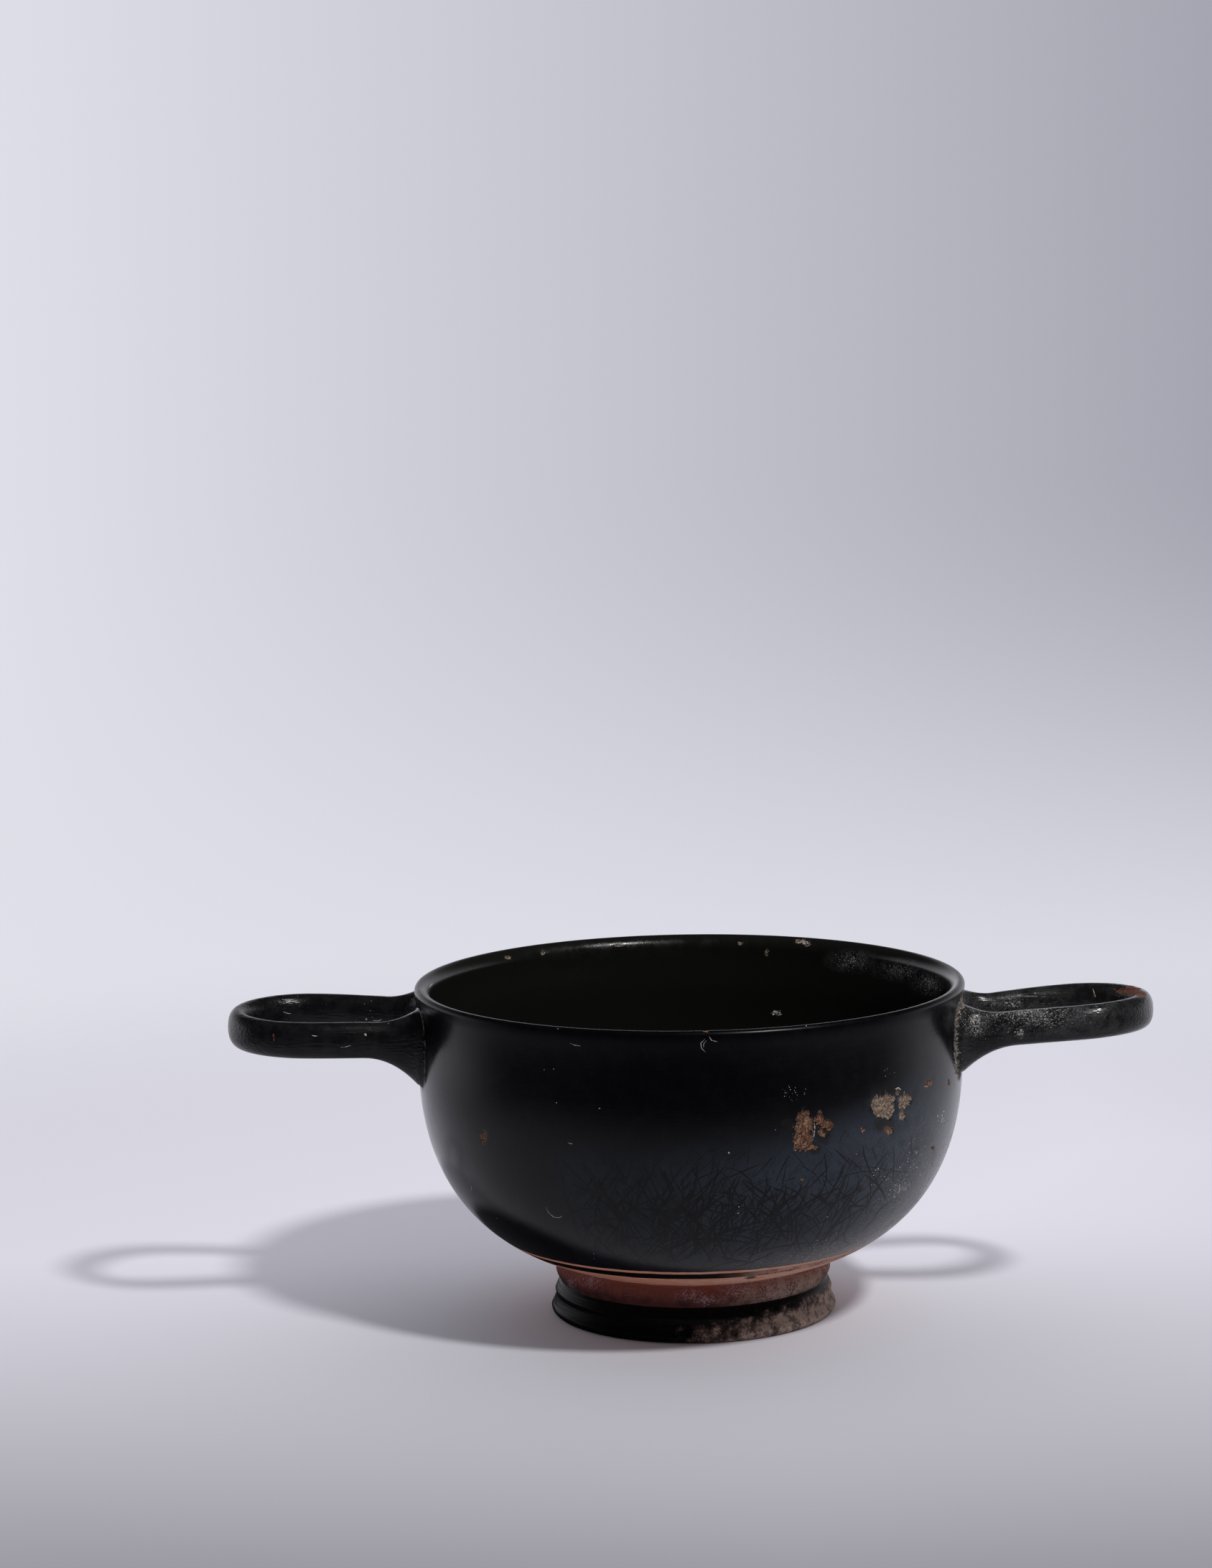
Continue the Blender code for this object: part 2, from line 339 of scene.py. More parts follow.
def loop_line():
    """Centre line of a handle in plan, as (along, across), from inside the wall round to it again."""
    tip_along = HANDLE_REACH - TIP_HALF_WIDTH
    end_length = LOOP_HALF_SPREAD * LOOP_END_STRETCH
    end_start = tip_along - end_length
    half = []
    for step in range(STRAND_STEPS):
        t = (step / STRAND_STEPS) ** STRAND_CROWDING
        across = ROOT_HALF_SPREAD + (LOOP_HALF_SPREAD - ROOT_HALF_SPREAD) * ease(t)
        half.append((WALL_MIDDLE + (end_start - WALL_MIDDLE) * t, across))
    for sine, cosine in ((0.0, 1.0), *quarter(END_STEPS // 2)):
        half.append((end_start + end_length * sine, LOOP_HALF_SPREAD * cosine))
    return [(along, -across) for along, across in half] + half[-2::-1]


def fading(distance, length, curve):
    """1 at no distance, 0 from this length on."""
    return max(1 - distance / length, 0.0) ** curve


def strand_section(handle, from_wall, at_tip):
    """Offsets (outwards, up) round the strand, this far from the wall. It flares into its root."""
    down = fading(from_wall, FLARE_LENGTH_DOWN, FLARE_CURVE_DOWN)
    sideways = fading(from_wall, FLARE_LENGTH_SIDE, FLARE_CURVE_SIDE)
    upwards = fading(from_wall, FLARE_LENGTH_UP, FLARE_CURVE_UP)
    half_width = STRAND_HALF_WIDTH + (TIP_HALF_WIDTH - STRAND_HALF_WIDTH) * at_tip
    widest_web = ROOT_HALF_SPREAD - half_width - ROOT_WEB_GAP
    outer = half_width + ROOT_FLARE_OUT * sideways
    inner = half_width + min(ROOT_FLARE_IN, widest_web) * sideways
    top = handle["half_height"] + ROOT_FLARE_UP * upwards
    bottom = handle["half_height"] + handle["flare_down"] * down
    offsets = []
    for corner in range(SECTION_SIDES):
        angle = math.tau * (corner + 0.5) / SECTION_SIDES
        out = rounded(math.cos(angle))
        up = rounded(math.sin(angle))
        offsets.append((out * (outer if out > 0 else inner), up * (top if up > 0 else bottom)))
    return offsets


def strand_ring(handle, line, index):
    along, across = line[index]
    last = len(line) - 1
    direction = (Vector(line[min(index + 1, last)]) - Vector(line[max(index - 1, 0)])).normalized()
    outwards = Vector((direction.y, -direction.x))
    from_wall = max(along - math.sqrt(BELLY_RADIUS**2 - across**2), 0.0)
    at_tip = max(1 - abs(across) / LOOP_HALF_SPREAD, 0.0)
    share = min(max((along - BELLY_RADIUS) / (HANDLE_REACH - BELLY_RADIUS), 0.0), 1.0)
    rise = handle["rise"] * (1 - (1 - share) ** RISE_CURVE)
    height = CUP_HEIGHT - handle["root_drop"] + rise
    corners = []
    for out, up in strand_section(handle, from_wall, at_tip):
        corner = Vector((along + outwards.x * out, across + outwards.y * out, height + up))
        if index in (0, last):
            corner.x = math.sqrt(WALL_MIDDLE**2 - corner.y**2)
        corners.append(corner)
    return corners


def handle_mesh(name, handle):
    line = loop_line()
    tilt = Matrix.Rotation(math.radians(handle["tilt"]), 3, "X")
    turn = Matrix.Rotation(math.radians(handle["turn"]), 3, "Z")
    pivot = Vector((0.0, 0.0, CUP_HEIGHT - handle["root_drop"]))
    shape = bmesh.new()
    rings = []
    for index in range(len(line)):
        corners = strand_ring(handle, line, index)
        placed = [turn @ (pivot + tilt @ (corner - pivot)) for corner in corners]
        rings.append([shape.verts.new(corner) for corner in placed])
    for first, second in zip(rings, rings[1:]):
        for corner in range(SECTION_SIDES):
            following = (corner + 1) % SECTION_SIDES
            shape.faces.new((first[corner], first[following], second[following], second[corner]))
    shape.faces.new(rings[0])
    shape.faces.new(rings[-1])
    bmesh.ops.recalc_face_normals(shape, faces=shape.faces)
    return new_mesh(name, shape)


def joined_cup():
    """Bowl, foot and handles as one mesh object."""
    cup = new_object("black_gloss_cup", new_mesh("black_gloss_cup", turned_shape()))
    straps = []
    for side, handle in HANDLES.items():
        strap = new_object(f"{side}_strap", handle_mesh(f"{side}_strap", handle))
        join = cup.modifiers.new(f"join_{side}", "BOOLEAN")
        join.operation = "UNION"
        join.solver = "EXACT"
        join.object = strap
        straps.append(strap)
    evaluated = cup.evaluated_get(bpy.context.evaluated_depsgraph_get())
    whole = bpy.data.meshes.new_from_object(evaluated)
    cup.modifiers.clear()
    cup.data = whole
    for strap in straps:
        bpy.data.objects.remove(strap)
    return cup


# Camera and light


def camera_axes():
    """The camera's right, up and forward directions."""
    level = math.cos(CAMERA_PITCH)
    forward = Vector((math.sin(CAMERA_YAW) * level, math.cos(CAMERA_YAW) * level, -math.sin(CAMERA_PITCH)))
    right = Vector((math.cos(CAMERA_YAW), -math.sin(CAMERA_YAW), 0.0))
    up = right.cross(forward)
    rolled_right = math.cos(CAMERA_ROLL) * right + math.sin(CAMERA_ROLL) * up
    rolled_up = -math.sin(CAMERA_ROLL) * right + math.cos(CAMERA_ROLL) * up
    return rolled_right, rolled_up, forward


def camera_turn():
    right, up, forward = camera_axes()
    return Matrix((right, up, -forward)).transposed()


def add_camera():
    data = bpy.data.cameras.new("camera")
    data.sensor_width = SENSOR_WIDTH
    data.lens = FOCAL_PIXELS * SENSOR_WIDTH / PHOTO_HEIGHT
    data.clip_start, data.clip_end = CAMERA_CLIP
    camera = new_object("camera", data)
    camera.matrix_world = Matrix.Translation(CAMERA_PLACE) @ camera_turn().to_4x4()
    bpy.context.scene.camera = camera


KEY_DIRECTION = Vector((0.211, -0.246, 0.390)).normalized()
KEY_DISTANCE = 1.25
KEY_SIZE = 0.135
KEY_POWER = 9.5
KEY_COLOUR = (0.99, 0.985, 1.0)


def add_key_light():
    data = bpy.data.lights.new("key", "AREA")
    data.shape = "DISK"
    data.size = KEY_SIZE
    data.energy = KEY_POWER
    data.color = KEY_COLOUR
    key = new_object("key", data)
    key.location = Vector((0.0, 0.0, CUP_HEIGHT / 2)) + KEY_DIRECTION * KEY_DISTANCE
    key.rotation_mode = "QUATERNION"
    key.rotation_quaternion = KEY_DIRECTION.to_track_quat("Z", "Y")


class Value:
    """A number or colour in a shader. +, - and * add the nodes for them."""

    def __init__(self, graph, socket):
        self.graph = graph
        self.socket = socket

    def __add__(self, other):
        return self.graph.math("ADD", self, other)

    def __sub__(self, other):
        return self.graph.math("SUBTRACT", self, other)

    def __rsub__(self, other):
        return self.graph.math("SUBTRACT", other, self)

    def __mul__(self, other):
        return self.graph.math("MULTIPLY", self, other)

    def smooth(self, low, high):
        """0 at low, 1 at high, with a soft step between. Low may be the larger one."""
        return self.graph.node("MapRange", {0: self, 1: low, 2: high}, interpolation_type="SMOOTHSTEP")

    def ramp(self, low, high, start, end):
        return self.graph.node("MapRange", {0: self, 1: low, 2: high, 3: start, 4: end})

    def limited(self, value, pairs):
        """Itself, fading to 0 where the other value leaves these limits."""
        result = self
        for pair in pairs:
            result *= value.smooth(*pair)
        return result

    def between(self, low, high, soft):
        """1 between low and high, with soft edges."""
        return self.smooth(low - soft, low + soft) * self.smooth(high + soft, high - soft)


class Graph:
    """Short forms for the shader nodes that a material or the world uses."""

    def __init__(self, owner):
        owner.use_nodes = True
        self.tree = owner.node_tree
        self.tree.nodes.clear()

    def put(self, socket, value):
        if isinstance(value, Value):
            self.tree.links.new(value.socket, socket)
        else:
            socket.default_value = value

    def node(self, kind, inputs=None, output=0, **settings):
        """One output of a new node with these inputs and settings."""
        made = self.tree.nodes.new("ShaderNode" + kind)
        for name, value in settings.items():
            setattr(made, name, value)
        for name, value in (inputs or {}).items():
            self.put(made.inputs[name], value)
        return Value(self, made.outputs[output])

    def finish(self, kind, shader):
        """Links the shader to the output for a Material or the World."""
        self.put(self.tree.nodes.new("ShaderNodeOutput" + kind).inputs[0], shader)

    def math(self, operation, a, b):
        return self.node("Math", {0: a, 1: b}, operation=operation)

    def highest(self, first, *others):
        for other in others:
            first = self.math("MAXIMUM", first, other)
        return first

    def vector(self, operation, a, b=(0.0, 0.0, 0.0)):
        output = 1 if operation in ("LENGTH", "DISTANCE") else 0
        return self.node("VectorMath", {0: a, 1: b}, output, operation=operation)

    def scaled(self, vector, scale):
        return self.node("VectorMath", {0: vector, 3: scale}, operation="SCALE")

    def stretched(self, vector, scales):
        return self.vector("MULTIPLY", vector, scales)

    def combine(self, x, y, z=0.0):
        return self.node("CombineXYZ", {0: x, 1: y, 2: z})

    def split(self, vector):
        return [self.node("SeparateXYZ", {0: vector}, axis) for axis in range(3)]

    def mix(self, share, a, b):
        """From colour a to colour b."""
        a, b = (colour if isinstance(colour, Value) else (*colour, 1.0) for colour in (a, b))
        return self.node("Mix", {0: share, 6: a, 7: b}, 2, data_type="RGBA", clamp_factor=True)

    def blend(self, share, a, b):
        """From number a to number b."""
        return self.node("Mix", {0: share, 2: a, 3: b}, data_type="FLOAT", clamp_factor=True)

    def noise(self, where, scale, detail=2.0, roughness=0.5):
        inputs = {"Vector": where, "Scale": scale, "Detail": detail, "Roughness": roughness}
        return self.node("TexNoise", inputs)

    def attribute(self, name):
        return self.node("Attribute", output="Fac", attribute_name=name)

    def marked(self, where, surface, marks):
        """1 in the middle of the nearest mark, 0 at its edge, and less outside."""
        turn = camera_turn().to_euler()
        field = -1.0
        for (point, _), _, _, half_width, half_height in hits(surface, marks):
            sizes = [half_width / PIXELS_PER_MM, half_height / PIXELS_PER_MM]
            sizes.append(max(sizes) * MARK_DEPTH)
            inputs = {"Vector": where, "Location": point * MM, "Rotation": turn, "Scale": sizes}
            off = self.vector("LENGTH", self.node("Mapping", inputs, vector_type="TEXTURE"))
            field = self.highest(field, 1.0 - off)
        return field


# The backdrop, with painted light falloff: bright on the left, duller on the right, and even where it meets
# the floor
BACKDROP_LEFT = (0.735, 0.735, 0.81)
BACKDROP_RIGHT = (0.355, 0.355, 0.415)
BACKDROP_LOW = (0.745, 0.745, 0.82)
BACKDROP_SIDES = (-0.17, 0.15)
BACKDROP_LEVELS = (-0.05, -0.21)
STUDIO_BACK = (-0.15, 0.45)
STUDIO_LIGHT = (0.88, 0.88, 0.95)
STUDIO_DARK = (0.012, 0.012, 0.013)
CEILING = (0.46, 0.08)
FILL_FRONT = (0.21, 0.21, 0.23)
FILL_BACK = (0.99, 0.98, 1.06)
FILL_TURN = (-0.40, 0.50)


def paint_world():
    """What the camera sees past the floor, and the darker studio that lights and mirrors in the cup."""
    world = bpy.data.worlds.new("studio")
    bpy.context.scene.world = world
    g = Graph(world)
    right, away, up = g.split(g.node("TexCoord", output="Generated"))
    wall = g.mix(right.ramp(*BACKDROP_SIDES, 0.0, 1.0), BACKDROP_LEFT, BACKDROP_RIGHT)
    seen = g.mix(up.smooth(*BACKDROP_LEVELS), wall, BACKDROP_LOW)
    glow = g.mix(away.smooth(*STUDIO_BACK) * up.smooth(*CEILING), STUDIO_DARK, STUDIO_LIGHT)
    fill = g.mix(away.smooth(*FILL_TURN), FILL_FRONT, FILL_BACK)
    glow = g.mix(g.node("LightPath", output="Is Diffuse Ray"), glow, fill)
    shown = g.mix(g.node("LightPath", output="Is Camera Ray"), glow, seen)
    g.finish("World", g.node("Background", {"Color": shown}))


FLOOR_RADIUS = 3.0
FLOOR_SIDES_COUNT = 96
FLOOR_COLOUR = (0.755, 0.75, 0.795)
FLOOR_FADE = (0.19, 0.50)
FLOOR_SEEN = (-0.407, 0.097)
FLOOR_MIRRORED = (-0.30, 0.10)
FLOOR_SIDES = (0.16, 0.36)
FLOOR_SIDES_DARK = 0.3
SHADE_MIDDLE = (-0.028, 0.012, 0.0)
SHADE_EDGE = (0.044, 0.052)
SHADE_DARK = 0.12
FLOOR_DARKEST = 0.02
FLOOR_DARKEST_SEEN = 0.30
FLOOR_RIGHT = (0.02, 0.17)
FLOOR_RIGHT_DARK = 0.82
FLOOR_BACK = (0.02, 0.16)
FLOOR_BACK_LIGHT = 1.12


def floor_material():
    """Pale paper with painted light on it: darker towards the camera and on the right, lighter behind the
    cup, and fading into the backdrop. The gloss mirrors it darker, with a painted shadow round the foot.
    """
    material = bpy.data.materials.new("pale_floor")
    g = Graph(material)
    spot = g.node("NewGeometry", output="Position")
    across, forward, _ = g.split(spot)
    # Painted falloff of the key light's pool on the floor
    seen = g.highest(forward.smooth(*FLOOR_SEEN), FLOOR_DARKEST_SEEN)
    seen *= across.ramp(*FLOOR_RIGHT, 1.0, FLOOR_RIGHT_DARK)
    seen *= forward.ramp(*FLOOR_BACK, 1.0, FLOOR_BACK_LIGHT)
    mirrored = forward.ramp(*FLOOR_MIRRORED, FLOOR_DARKEST, 1.0)
    mirrored *= g.math("ABSOLUTE", across, 0.0).ramp(*FLOOR_SIDES, 1.0, FLOOR_SIDES_DARK)
    # Painted shadow round the foot, seen only in the cup's gloss
    mirrored *= g.vector("DISTANCE", spot, SHADE_MIDDLE).ramp(*SHADE_EDGE, SHADE_DARK, 1.0)
    level = g.blend(g.node("LightPath", output="Is Glossy Ray"), seen, mirrored)
    paper = g.node("BsdfDiffuse", {"Color": g.mix(level, (0.0, 0.0, 0.0), FLOOR_COLOUR)})
    far = g.vector("LENGTH", spot).smooth(*FLOOR_FADE)
    g.finish("Material", g.node("MixShader", {0: far, 1: paper, 2: g.node("BsdfTransparent")}))
    return material


def add_floor():
    shape = bmesh.new()
    bmesh.ops.create_circle(shape, cap_ends=True, segments=FLOOR_SIDES_COUNT, radius=FLOOR_RADIUS)
    floor = new_object("floor", new_mesh("floor", shape))
    floor.data.materials.append(floor_material())


# Where the marks are, as (x, y, half width, half height) in photograph pixels
CLAY_CHIPS = {
    "large chip": [(1121, 1566, 13, 19), (1119, 1586, 14, 17), (1124, 1597, 14, 6), (1110, 1599, 4, 4)],
    "beside the large chip": [(1143, 1560, 5, 11), (1154, 1568, 8, 8), (1145, 1578, 5, 5)],
    "under the right root": [(1294, 1508, 5, 4), (1290, 1512, 3, 3), (1321, 1508, 1.6, 5)],
    "below the pale chip": [(1238, 1574, 6, 5)],
    "between the chips": [(1202, 1574, 4, 3.4), (1193, 1606, 1.6, 1.6)],
    "lone specks": [(1117, 1643, 2.2, 2.0), (1299, 1599, 2.4, 3.0)],
    "left wall": [(673, 1585, 4.5, 7)],
    "lip, front": [(982, 1436, 3.5, 1.6)],
    "right handle": [(1573, 1380, 17, 5.5), (1588, 1384, 8, 4), (1523.5, 1387, 1.0, 4.5)],
    "left handle": [(381, 1445, 1.6, 4.5)],
}
BUFF_CHIPS = {
    "pale chip": [(1230, 1541, 16, 16), (1239, 1530, 7, 7), (1233, 1553, 8, 5), (1250, 1521, 2.6, 4.5)],
    "beside the pale chip": [(1261, 1532, 7, 9), (1256, 1540, 4, 5), (1256, 1554, 4.5, 6)],
    "back lip, left": [(708, 1334, 5, 2.4), (756, 1327, 2.5, 3), (858, 1317, 4, 2)],
    "back lip, right": [(1031, 1314, 3.6, 2.6), (1116, 1311, 8, 3), (1124, 1316, 5, 2)],
    "inner wall": [(1068, 1327, 2.2, 5)],
}
HAZE = {
    "right handle, whole": [(1435, 1410, 150, 40)],
    "inner wall, right": [(1187, 1339, 50, 20), (1255, 1352, 62, 20), (1295, 1368, 52, 26)],
    "right root": [(1358, 1428, 26, 30)],
    "right handle, front strand": [(1395, 1412, 60, 13), (1452, 1422, 50, 15), (1422, 1437, 13, 14)],
    "right handle, back strand": [(1400, 1398, 40, 9)],
    "wall, right": [(1312, 1557, 13, 14), (1255, 1655, 48, 40), (1235, 1705, 60, 26)],
}
LIME = {
    "right handle": [(1357, 1421, 13, 12), (1421, 1439, 7, 8), (1410, 1399, 8, 5)],
    "wall, right": [(1313, 1557, 7, 8), (1276, 1605, 4, 5)],
    "inner wall": [(1082, 1411, 9, 5)],
    "back lip": [(1120, 1313, 9, 3)],
}
STAIN = {
    "blot on the thin line": [(1046, 1779.5, 9, 3.6)],
    "pits": [(1276, 1604, 8, 9), (1300, 1611, 5, 14), (1197, 1656, 5, 6)],
    "between the chips": [(1232, 1567, 20, 11)],
    "round the large chip": [(1147, 1578, 11, 16), (1135, 1600, 10, 8), (1096, 1568, 9, 12)],
    "over the pale chip": [(1240, 1518, 24, 5)],
    "wall, right": [(1322, 1590, 5, 20)],
}
BLOOM = {
    "left": [(822, 1782, 27, 9), (795, 1790, 10, 10)],
    "middle": [(962, 1803, 22, 8), (985, 1811, 18, 8)],
    "right": [(1030, 1795, 26, 12), (1085, 1790, 28, 13)],
}
# Fields of lime crumbs: middle and half sizes in photograph pixels, how many, and their radius in millimetres
CRUMB_FIELDS = {
    "wall, low right": [(1252, 1652, 44, 36, 90, 0.14)],
    "wall, right edge": [(1290, 1610, 26, 46, 46, 0.13), (1313, 1557, 8, 9, 16, 0.22)],
    "wall, above the chips": [(1108, 1522, 20, 14, 22, 0.10), (1236, 1492, 10, 8, 6, 0.10)],
    "wall, foot side": [(1180, 1735, 60, 18, 70, 0.10)],
    "right root": [(1357, 1424, 20, 22, 170, 0.060), (1385, 1432, 34, 20, 110, 0.050)],
    "right handle, blobs": [(1419, 1440, 7, 7, 16, 0.12), (1412, 1398, 12, 6, 16, 0.10)],
    "right handle, film": [(1440, 1418, 40, 10, 60, 0.055), (1400, 1397, 45, 8, 50, 0.055)],
    "inner wall": [(1082, 1411, 8, 4, 20, 0.20), (1300, 1372, 26, 18, 26, 0.12)],
    "back lip": [(1120, 1313, 9, 2.5, 16, 0.16), (850, 1318, 50, 5, 14, 0.10)],
    "left handle": [(500, 1426, 50, 10, 16, 0.055), (450, 1396, 60, 12, 10, 0.06)],
}
# Single crumbs: (x, y) in photograph pixels and the radius in millimetres
CRUMBS = {
    "upper left": [(758, 1490, 0.12), (771, 1489, 0.12), (775, 1536, 0.11)],
    "middle": [(835, 1544, 0.16), (1015, 1606, 0.15), (1080, 1574, 0.17)],
    "low left": [(827, 1746, 0.16), (827, 1753, 0.13), (692, 1697, 0.15)],
    "low middle": [(1029, 1681, 0.13), (1028, 1690, 0.13), (1152, 1695, 0.15)],
    "left handle": [(510, 1420, 0.36), (509, 1441, 0.22), (516, 1408, 0.09), (517, 1394, 0.10)],
    "front lip": [(777, 1433, 0.15), (1123, 1429, 0.20)],
}
# Lines: points in photograph pixels, and the width in millimetres
SCRATCHES = {
    "under the lip": (((982, 1447), (976, 1453), (977, 1460), (983, 1466)), 0.15),
    "under the lip, inner": (((984, 1449), (980, 1454), (980, 1460)), 0.10),
    "under the lip, right": (((987, 1443), (991, 1449), (999, 1451)), 0.14),
    "upper left": (((794, 1453), (801, 1456), (809, 1457)), 0.11),
    "crescent": (((760, 1681), (764, 1689), (771, 1695), (779, 1696), (784, 1693)), 0.16),
    "left": (((791, 1592), (797, 1593)), 0.22),
    "left edge": (((651, 1645), (657, 1652), (656, 1660)), 0.10),
    "chip sliver": (((1134, 1563), (1135, 1572), (1133, 1585)), 0.24),
    "pale chip arc": (((1246, 1517), (1251, 1515), (1255, 1518)), 0.22),
    "left handle": (((434, 1442), (438, 1443), (443, 1443)), 0.16),
    "left handle, low": (((474, 1459), (482, 1458), (489, 1456)), 0.11),
    "left handle, back": (((394, 1409), (399, 1411), (406, 1412)), 0.13),
    "left handle, top": (((519, 1421), (526, 1422), (532, 1420)), 0.16),
    "inner wall, left": (((598, 1376), (600, 1372), (603, 1370)), 0.18),
    "left root": (((589, 1420), (590, 1432), (591, 1440)), 0.10),
    "left root, low": (((592, 1449), (592, 1456), (593, 1462)), 0.10),
    "right handle, back strand": (((1522, 1377), (1524, 1383), (1526, 1389)), 0.20),
}
DARK_LINES = {
    "crack beside the large chip": (((1064, 1570), (1078, 1568), (1090, 1571), (1105, 1576)), 0.42),
    "long line, right": (((1189, 1624), (1217, 1626), (1245, 1631), (1277, 1633)), 0.20),
    "long line, lower": (((1155, 1645), (1178, 1637), (1200, 1632), (1235, 1631)), 0.20),
    "fork": (((1183, 1636), (1180, 1652), (1174, 1668), (1163, 1689)), 0.22),
    "fork, right": (((1199, 1640), (1192, 1655), (1182, 1668), (1170, 1681)), 0.22),
    "big cross, rising": (((836, 1685), (862, 1676), (884, 1653), (905, 1628)), 0.55),
    "big cross, falling": (((884, 1640), (895, 1655), (902, 1670), (912, 1680)), 0.45),
    "big cross, right": (((915, 1618), (925, 1640), (933, 1656), (938, 1674)), 0.50),
    "big cross, middle": (((905, 1680), (925, 1662), (940, 1640), (952, 1622)), 0.50),
    "rising, far": (((948, 1680), (975, 1660), (996, 1640), (1015, 1618)), 0.42),
    "rising, right": (((1000, 1646), (1022, 1637), (1045, 1627), (1062, 1620)), 0.35),
    "lens, left": (((832, 1668), (848, 1655), (858, 1640), (868, 1626)), 0.50),
    "steep, middle": (((985, 1680), (990, 1660), (997, 1640), (1003, 1615)), 0.50),
}

FINE_EDGE = 0.00026
FINE_PASSES = 3
FINE_MARGIN = 0.0007
OUTLINE_SLACK = 0.00004
CHIP_DEPTH = 0.00026
CHIP_EDGE = 0.3
CHIP_RAGGED = 0.5
CHIP_GRAIN = 0.0010
CHIP_FACING = 0.024
CHIP_SEARCH = (3.9, 12.0)
MARK_DEPTH = 1.8
SEAM_REACH = 2.5
SEAM_FINE = 0.0013
SEAM_SOFT = 1.3
SEAM_PASSES = 4
SEAM_SLACK = 0.00003
SEAM_TOP = NECK_TOP - 0.0018
SEAM_LOWEST = BELLY_HEIGHT * 0.75
SEAM_SIDE = RIM_RADIUS * 0.8
SEAM_SEARCH = 0.04
HANDLE_GAP = 0.0002
HANDLE_LOWEST = 0.045
HANDLE_NEAREST = 0.05
HANDLE_TOP = CUP_HEIGHT - 0.0022
INSIDE_GAP = 0.0012
FLOOR_SLACK = 0.0003
CRUMB_FLATNESS = 0.45
CRUMB_SIZES = (0.6, 1.3)
CRUMB_ROUGH = (0.7, 1.3)
CRUMB_STRETCH = (0.8, 1.6)
CRUMB_SPREAD = (0.5, 1.2)


def photo_ray(x, y):
    """Direction from the camera through a point of the photograph."""
    right, up, forward = camera_axes()
    across = (x - PHOTO_WIDTH / 2) / FOCAL_PIXELS
    down = (y - PHOTO_HEIGHT / 2) / FOCAL_PIXELS
    return (forward + right * across - up * down).normalized()


def photo_pixels(points):
    """Where points, as rows of an array, are in the photograph."""
    right, up, forward = (np.array(axis) for axis in camera_axes())
    away = points - np.array(CAMERA_PLACE)
    depth = away @ forward
    x = PHOTO_WIDTH / 2 + FOCAL_PIXELS * (away @ right) / depth
    y = PHOTO_HEIGHT / 2 - FOCAL_PIXELS * (away @ up) / depth
    return np.stack((x, y), axis=1)


def on_cup(surface, x, y):
    """(point, normal) of the cup at a point of the photograph, or None beside the cup."""
    point, normal, _, _ = surface.ray_cast(CAMERA_PLACE, photo_ray(x, y))
    return None if point is None else (point, normal)


def hits(surface, marks):
    """For each mark that meets the cup: its (point, normal) there, then the mark's own numbers."""
    for group in marks.values():
        for mark in group:
            hit = on_cup(surface, *mark[:2])
            if hit is not None:
                yield hit, *mark


def chip_reach(half_width, half_height, share=1.0, margin=0.0):
    """A reach in metres round a mark, from its half sizes and a margin in photograph pixels."""
    return (max(half_width, half_height) * share + margin) / PIXELS_PER_MM / MM


def vertex_rows(mesh, kind):
    """Each vertex's "co" or "normal", as rows of an array."""
    rows = np.empty(len(mesh.vertices) * 3)
    mesh.vertices.foreach_get(kind, rows)
    return rows.reshape(-1, 3)


def refine(shape, spots):
    """Finer faces round each spot, a (point, reach) pair, so that chips have real edges."""
    for _ in range(FINE_PASSES):
        shape.edges.ensure_lookup_table()
        ends = np.array([[*edge.verts[0].co, *edge.verts[1].co] for edge in shape.edges])
        middles = (ends[:, :3] + ends[:, 3:]) / 2
        lengths = np.linalg.norm(ends[:, :3] - ends[:, 3:], axis=1)
        near = np.zeros(len(lengths), bool)
        for point, reach in spots:
            near |= np.linalg.norm(middles - np.array(point), axis=1) < reach
        chosen = [shape.edges[index] for index in np.flatnonzero(near & (lengths > FINE_EDGE))]
        bmesh.ops.subdivide_edges(shape, edges=chosen, cuts=1, use_grid_fill=True)
    for vert in shape.verts:
        radius = math.hypot(vert.co.x, vert.co.y)
        if FOOT_HEIGHT < vert.co.z < BELLY_HEIGHT:
            target = float(outer_radius(vert.co.z))
            if abs(radius - target) < OUTLINE_SLACK:
                vert.co.x *= target / radius
                vert.co.y *= target / radius


def ragged(places, size):
    """Noise at each place, from about -1 to 1. Size is in metres."""
    return np.array([noise.fractal(Vector(place) / size, 1.0, 2.0, 3) for place in places])


def mark_field(places, normals, surface, marks):
    """How far inside the nearest mark each vertex is, in millimetres."""
    pixels = photo_pixels(places)
    away = places - np.array(CAMERA_PLACE)
    facing = -(away * normals).sum(axis=1) / np.linalg.norm(away, axis=1)
    field = np.full(len(places), -1.0)
    for (point, _), x, y, half_width, half_height in hits(surface, marks):
        reach = chip_reach(half_width, half_height, *CHIP_SEARCH)
        near = np.linalg.norm(places - np.array(point), axis=1) < reach
        near &= facing > CHIP_FACING
        off = (pixels[near] - np.array((x, y))) / np.array((half_width, half_height))
        inside = 1.0 - np.linalg.norm(off, axis=1)
        size = min(half_width, half_height) / PIXELS_PER_MM
        inside = (inside + CHIP_RAGGED * ragged(places[near], CHIP_GRAIN)) * size
        field[near] = np.maximum(field[near], inside)
    return field


def seam_points(mesh, places):
    """Vertices where a handle meets the wall."""
    radius = np.hypot(places[:, 0], places[:, 1])
    height = places[:, 2]
    wall = wall_radius(height)
    on_wall = np.abs(radius - wall) < SEAM_SLACK
    off_wall = (radius > wall + SEAM_SLACK) & (height > SEAM_LOWEST)
    meets = np.zeros(len(places), bool)
    for edge in mesh.edges:
        a, b = edge.vertices
        if off_wall[a] and on_wall[b]:
            meets[b] = True
        elif off_wall[b] and on_wall[a]:
            meets[a] = True
    return np.flatnonzero(meets & (np.abs(places[:, 0]) > SEAM_SIDE) & (height < SEAM_TOP))


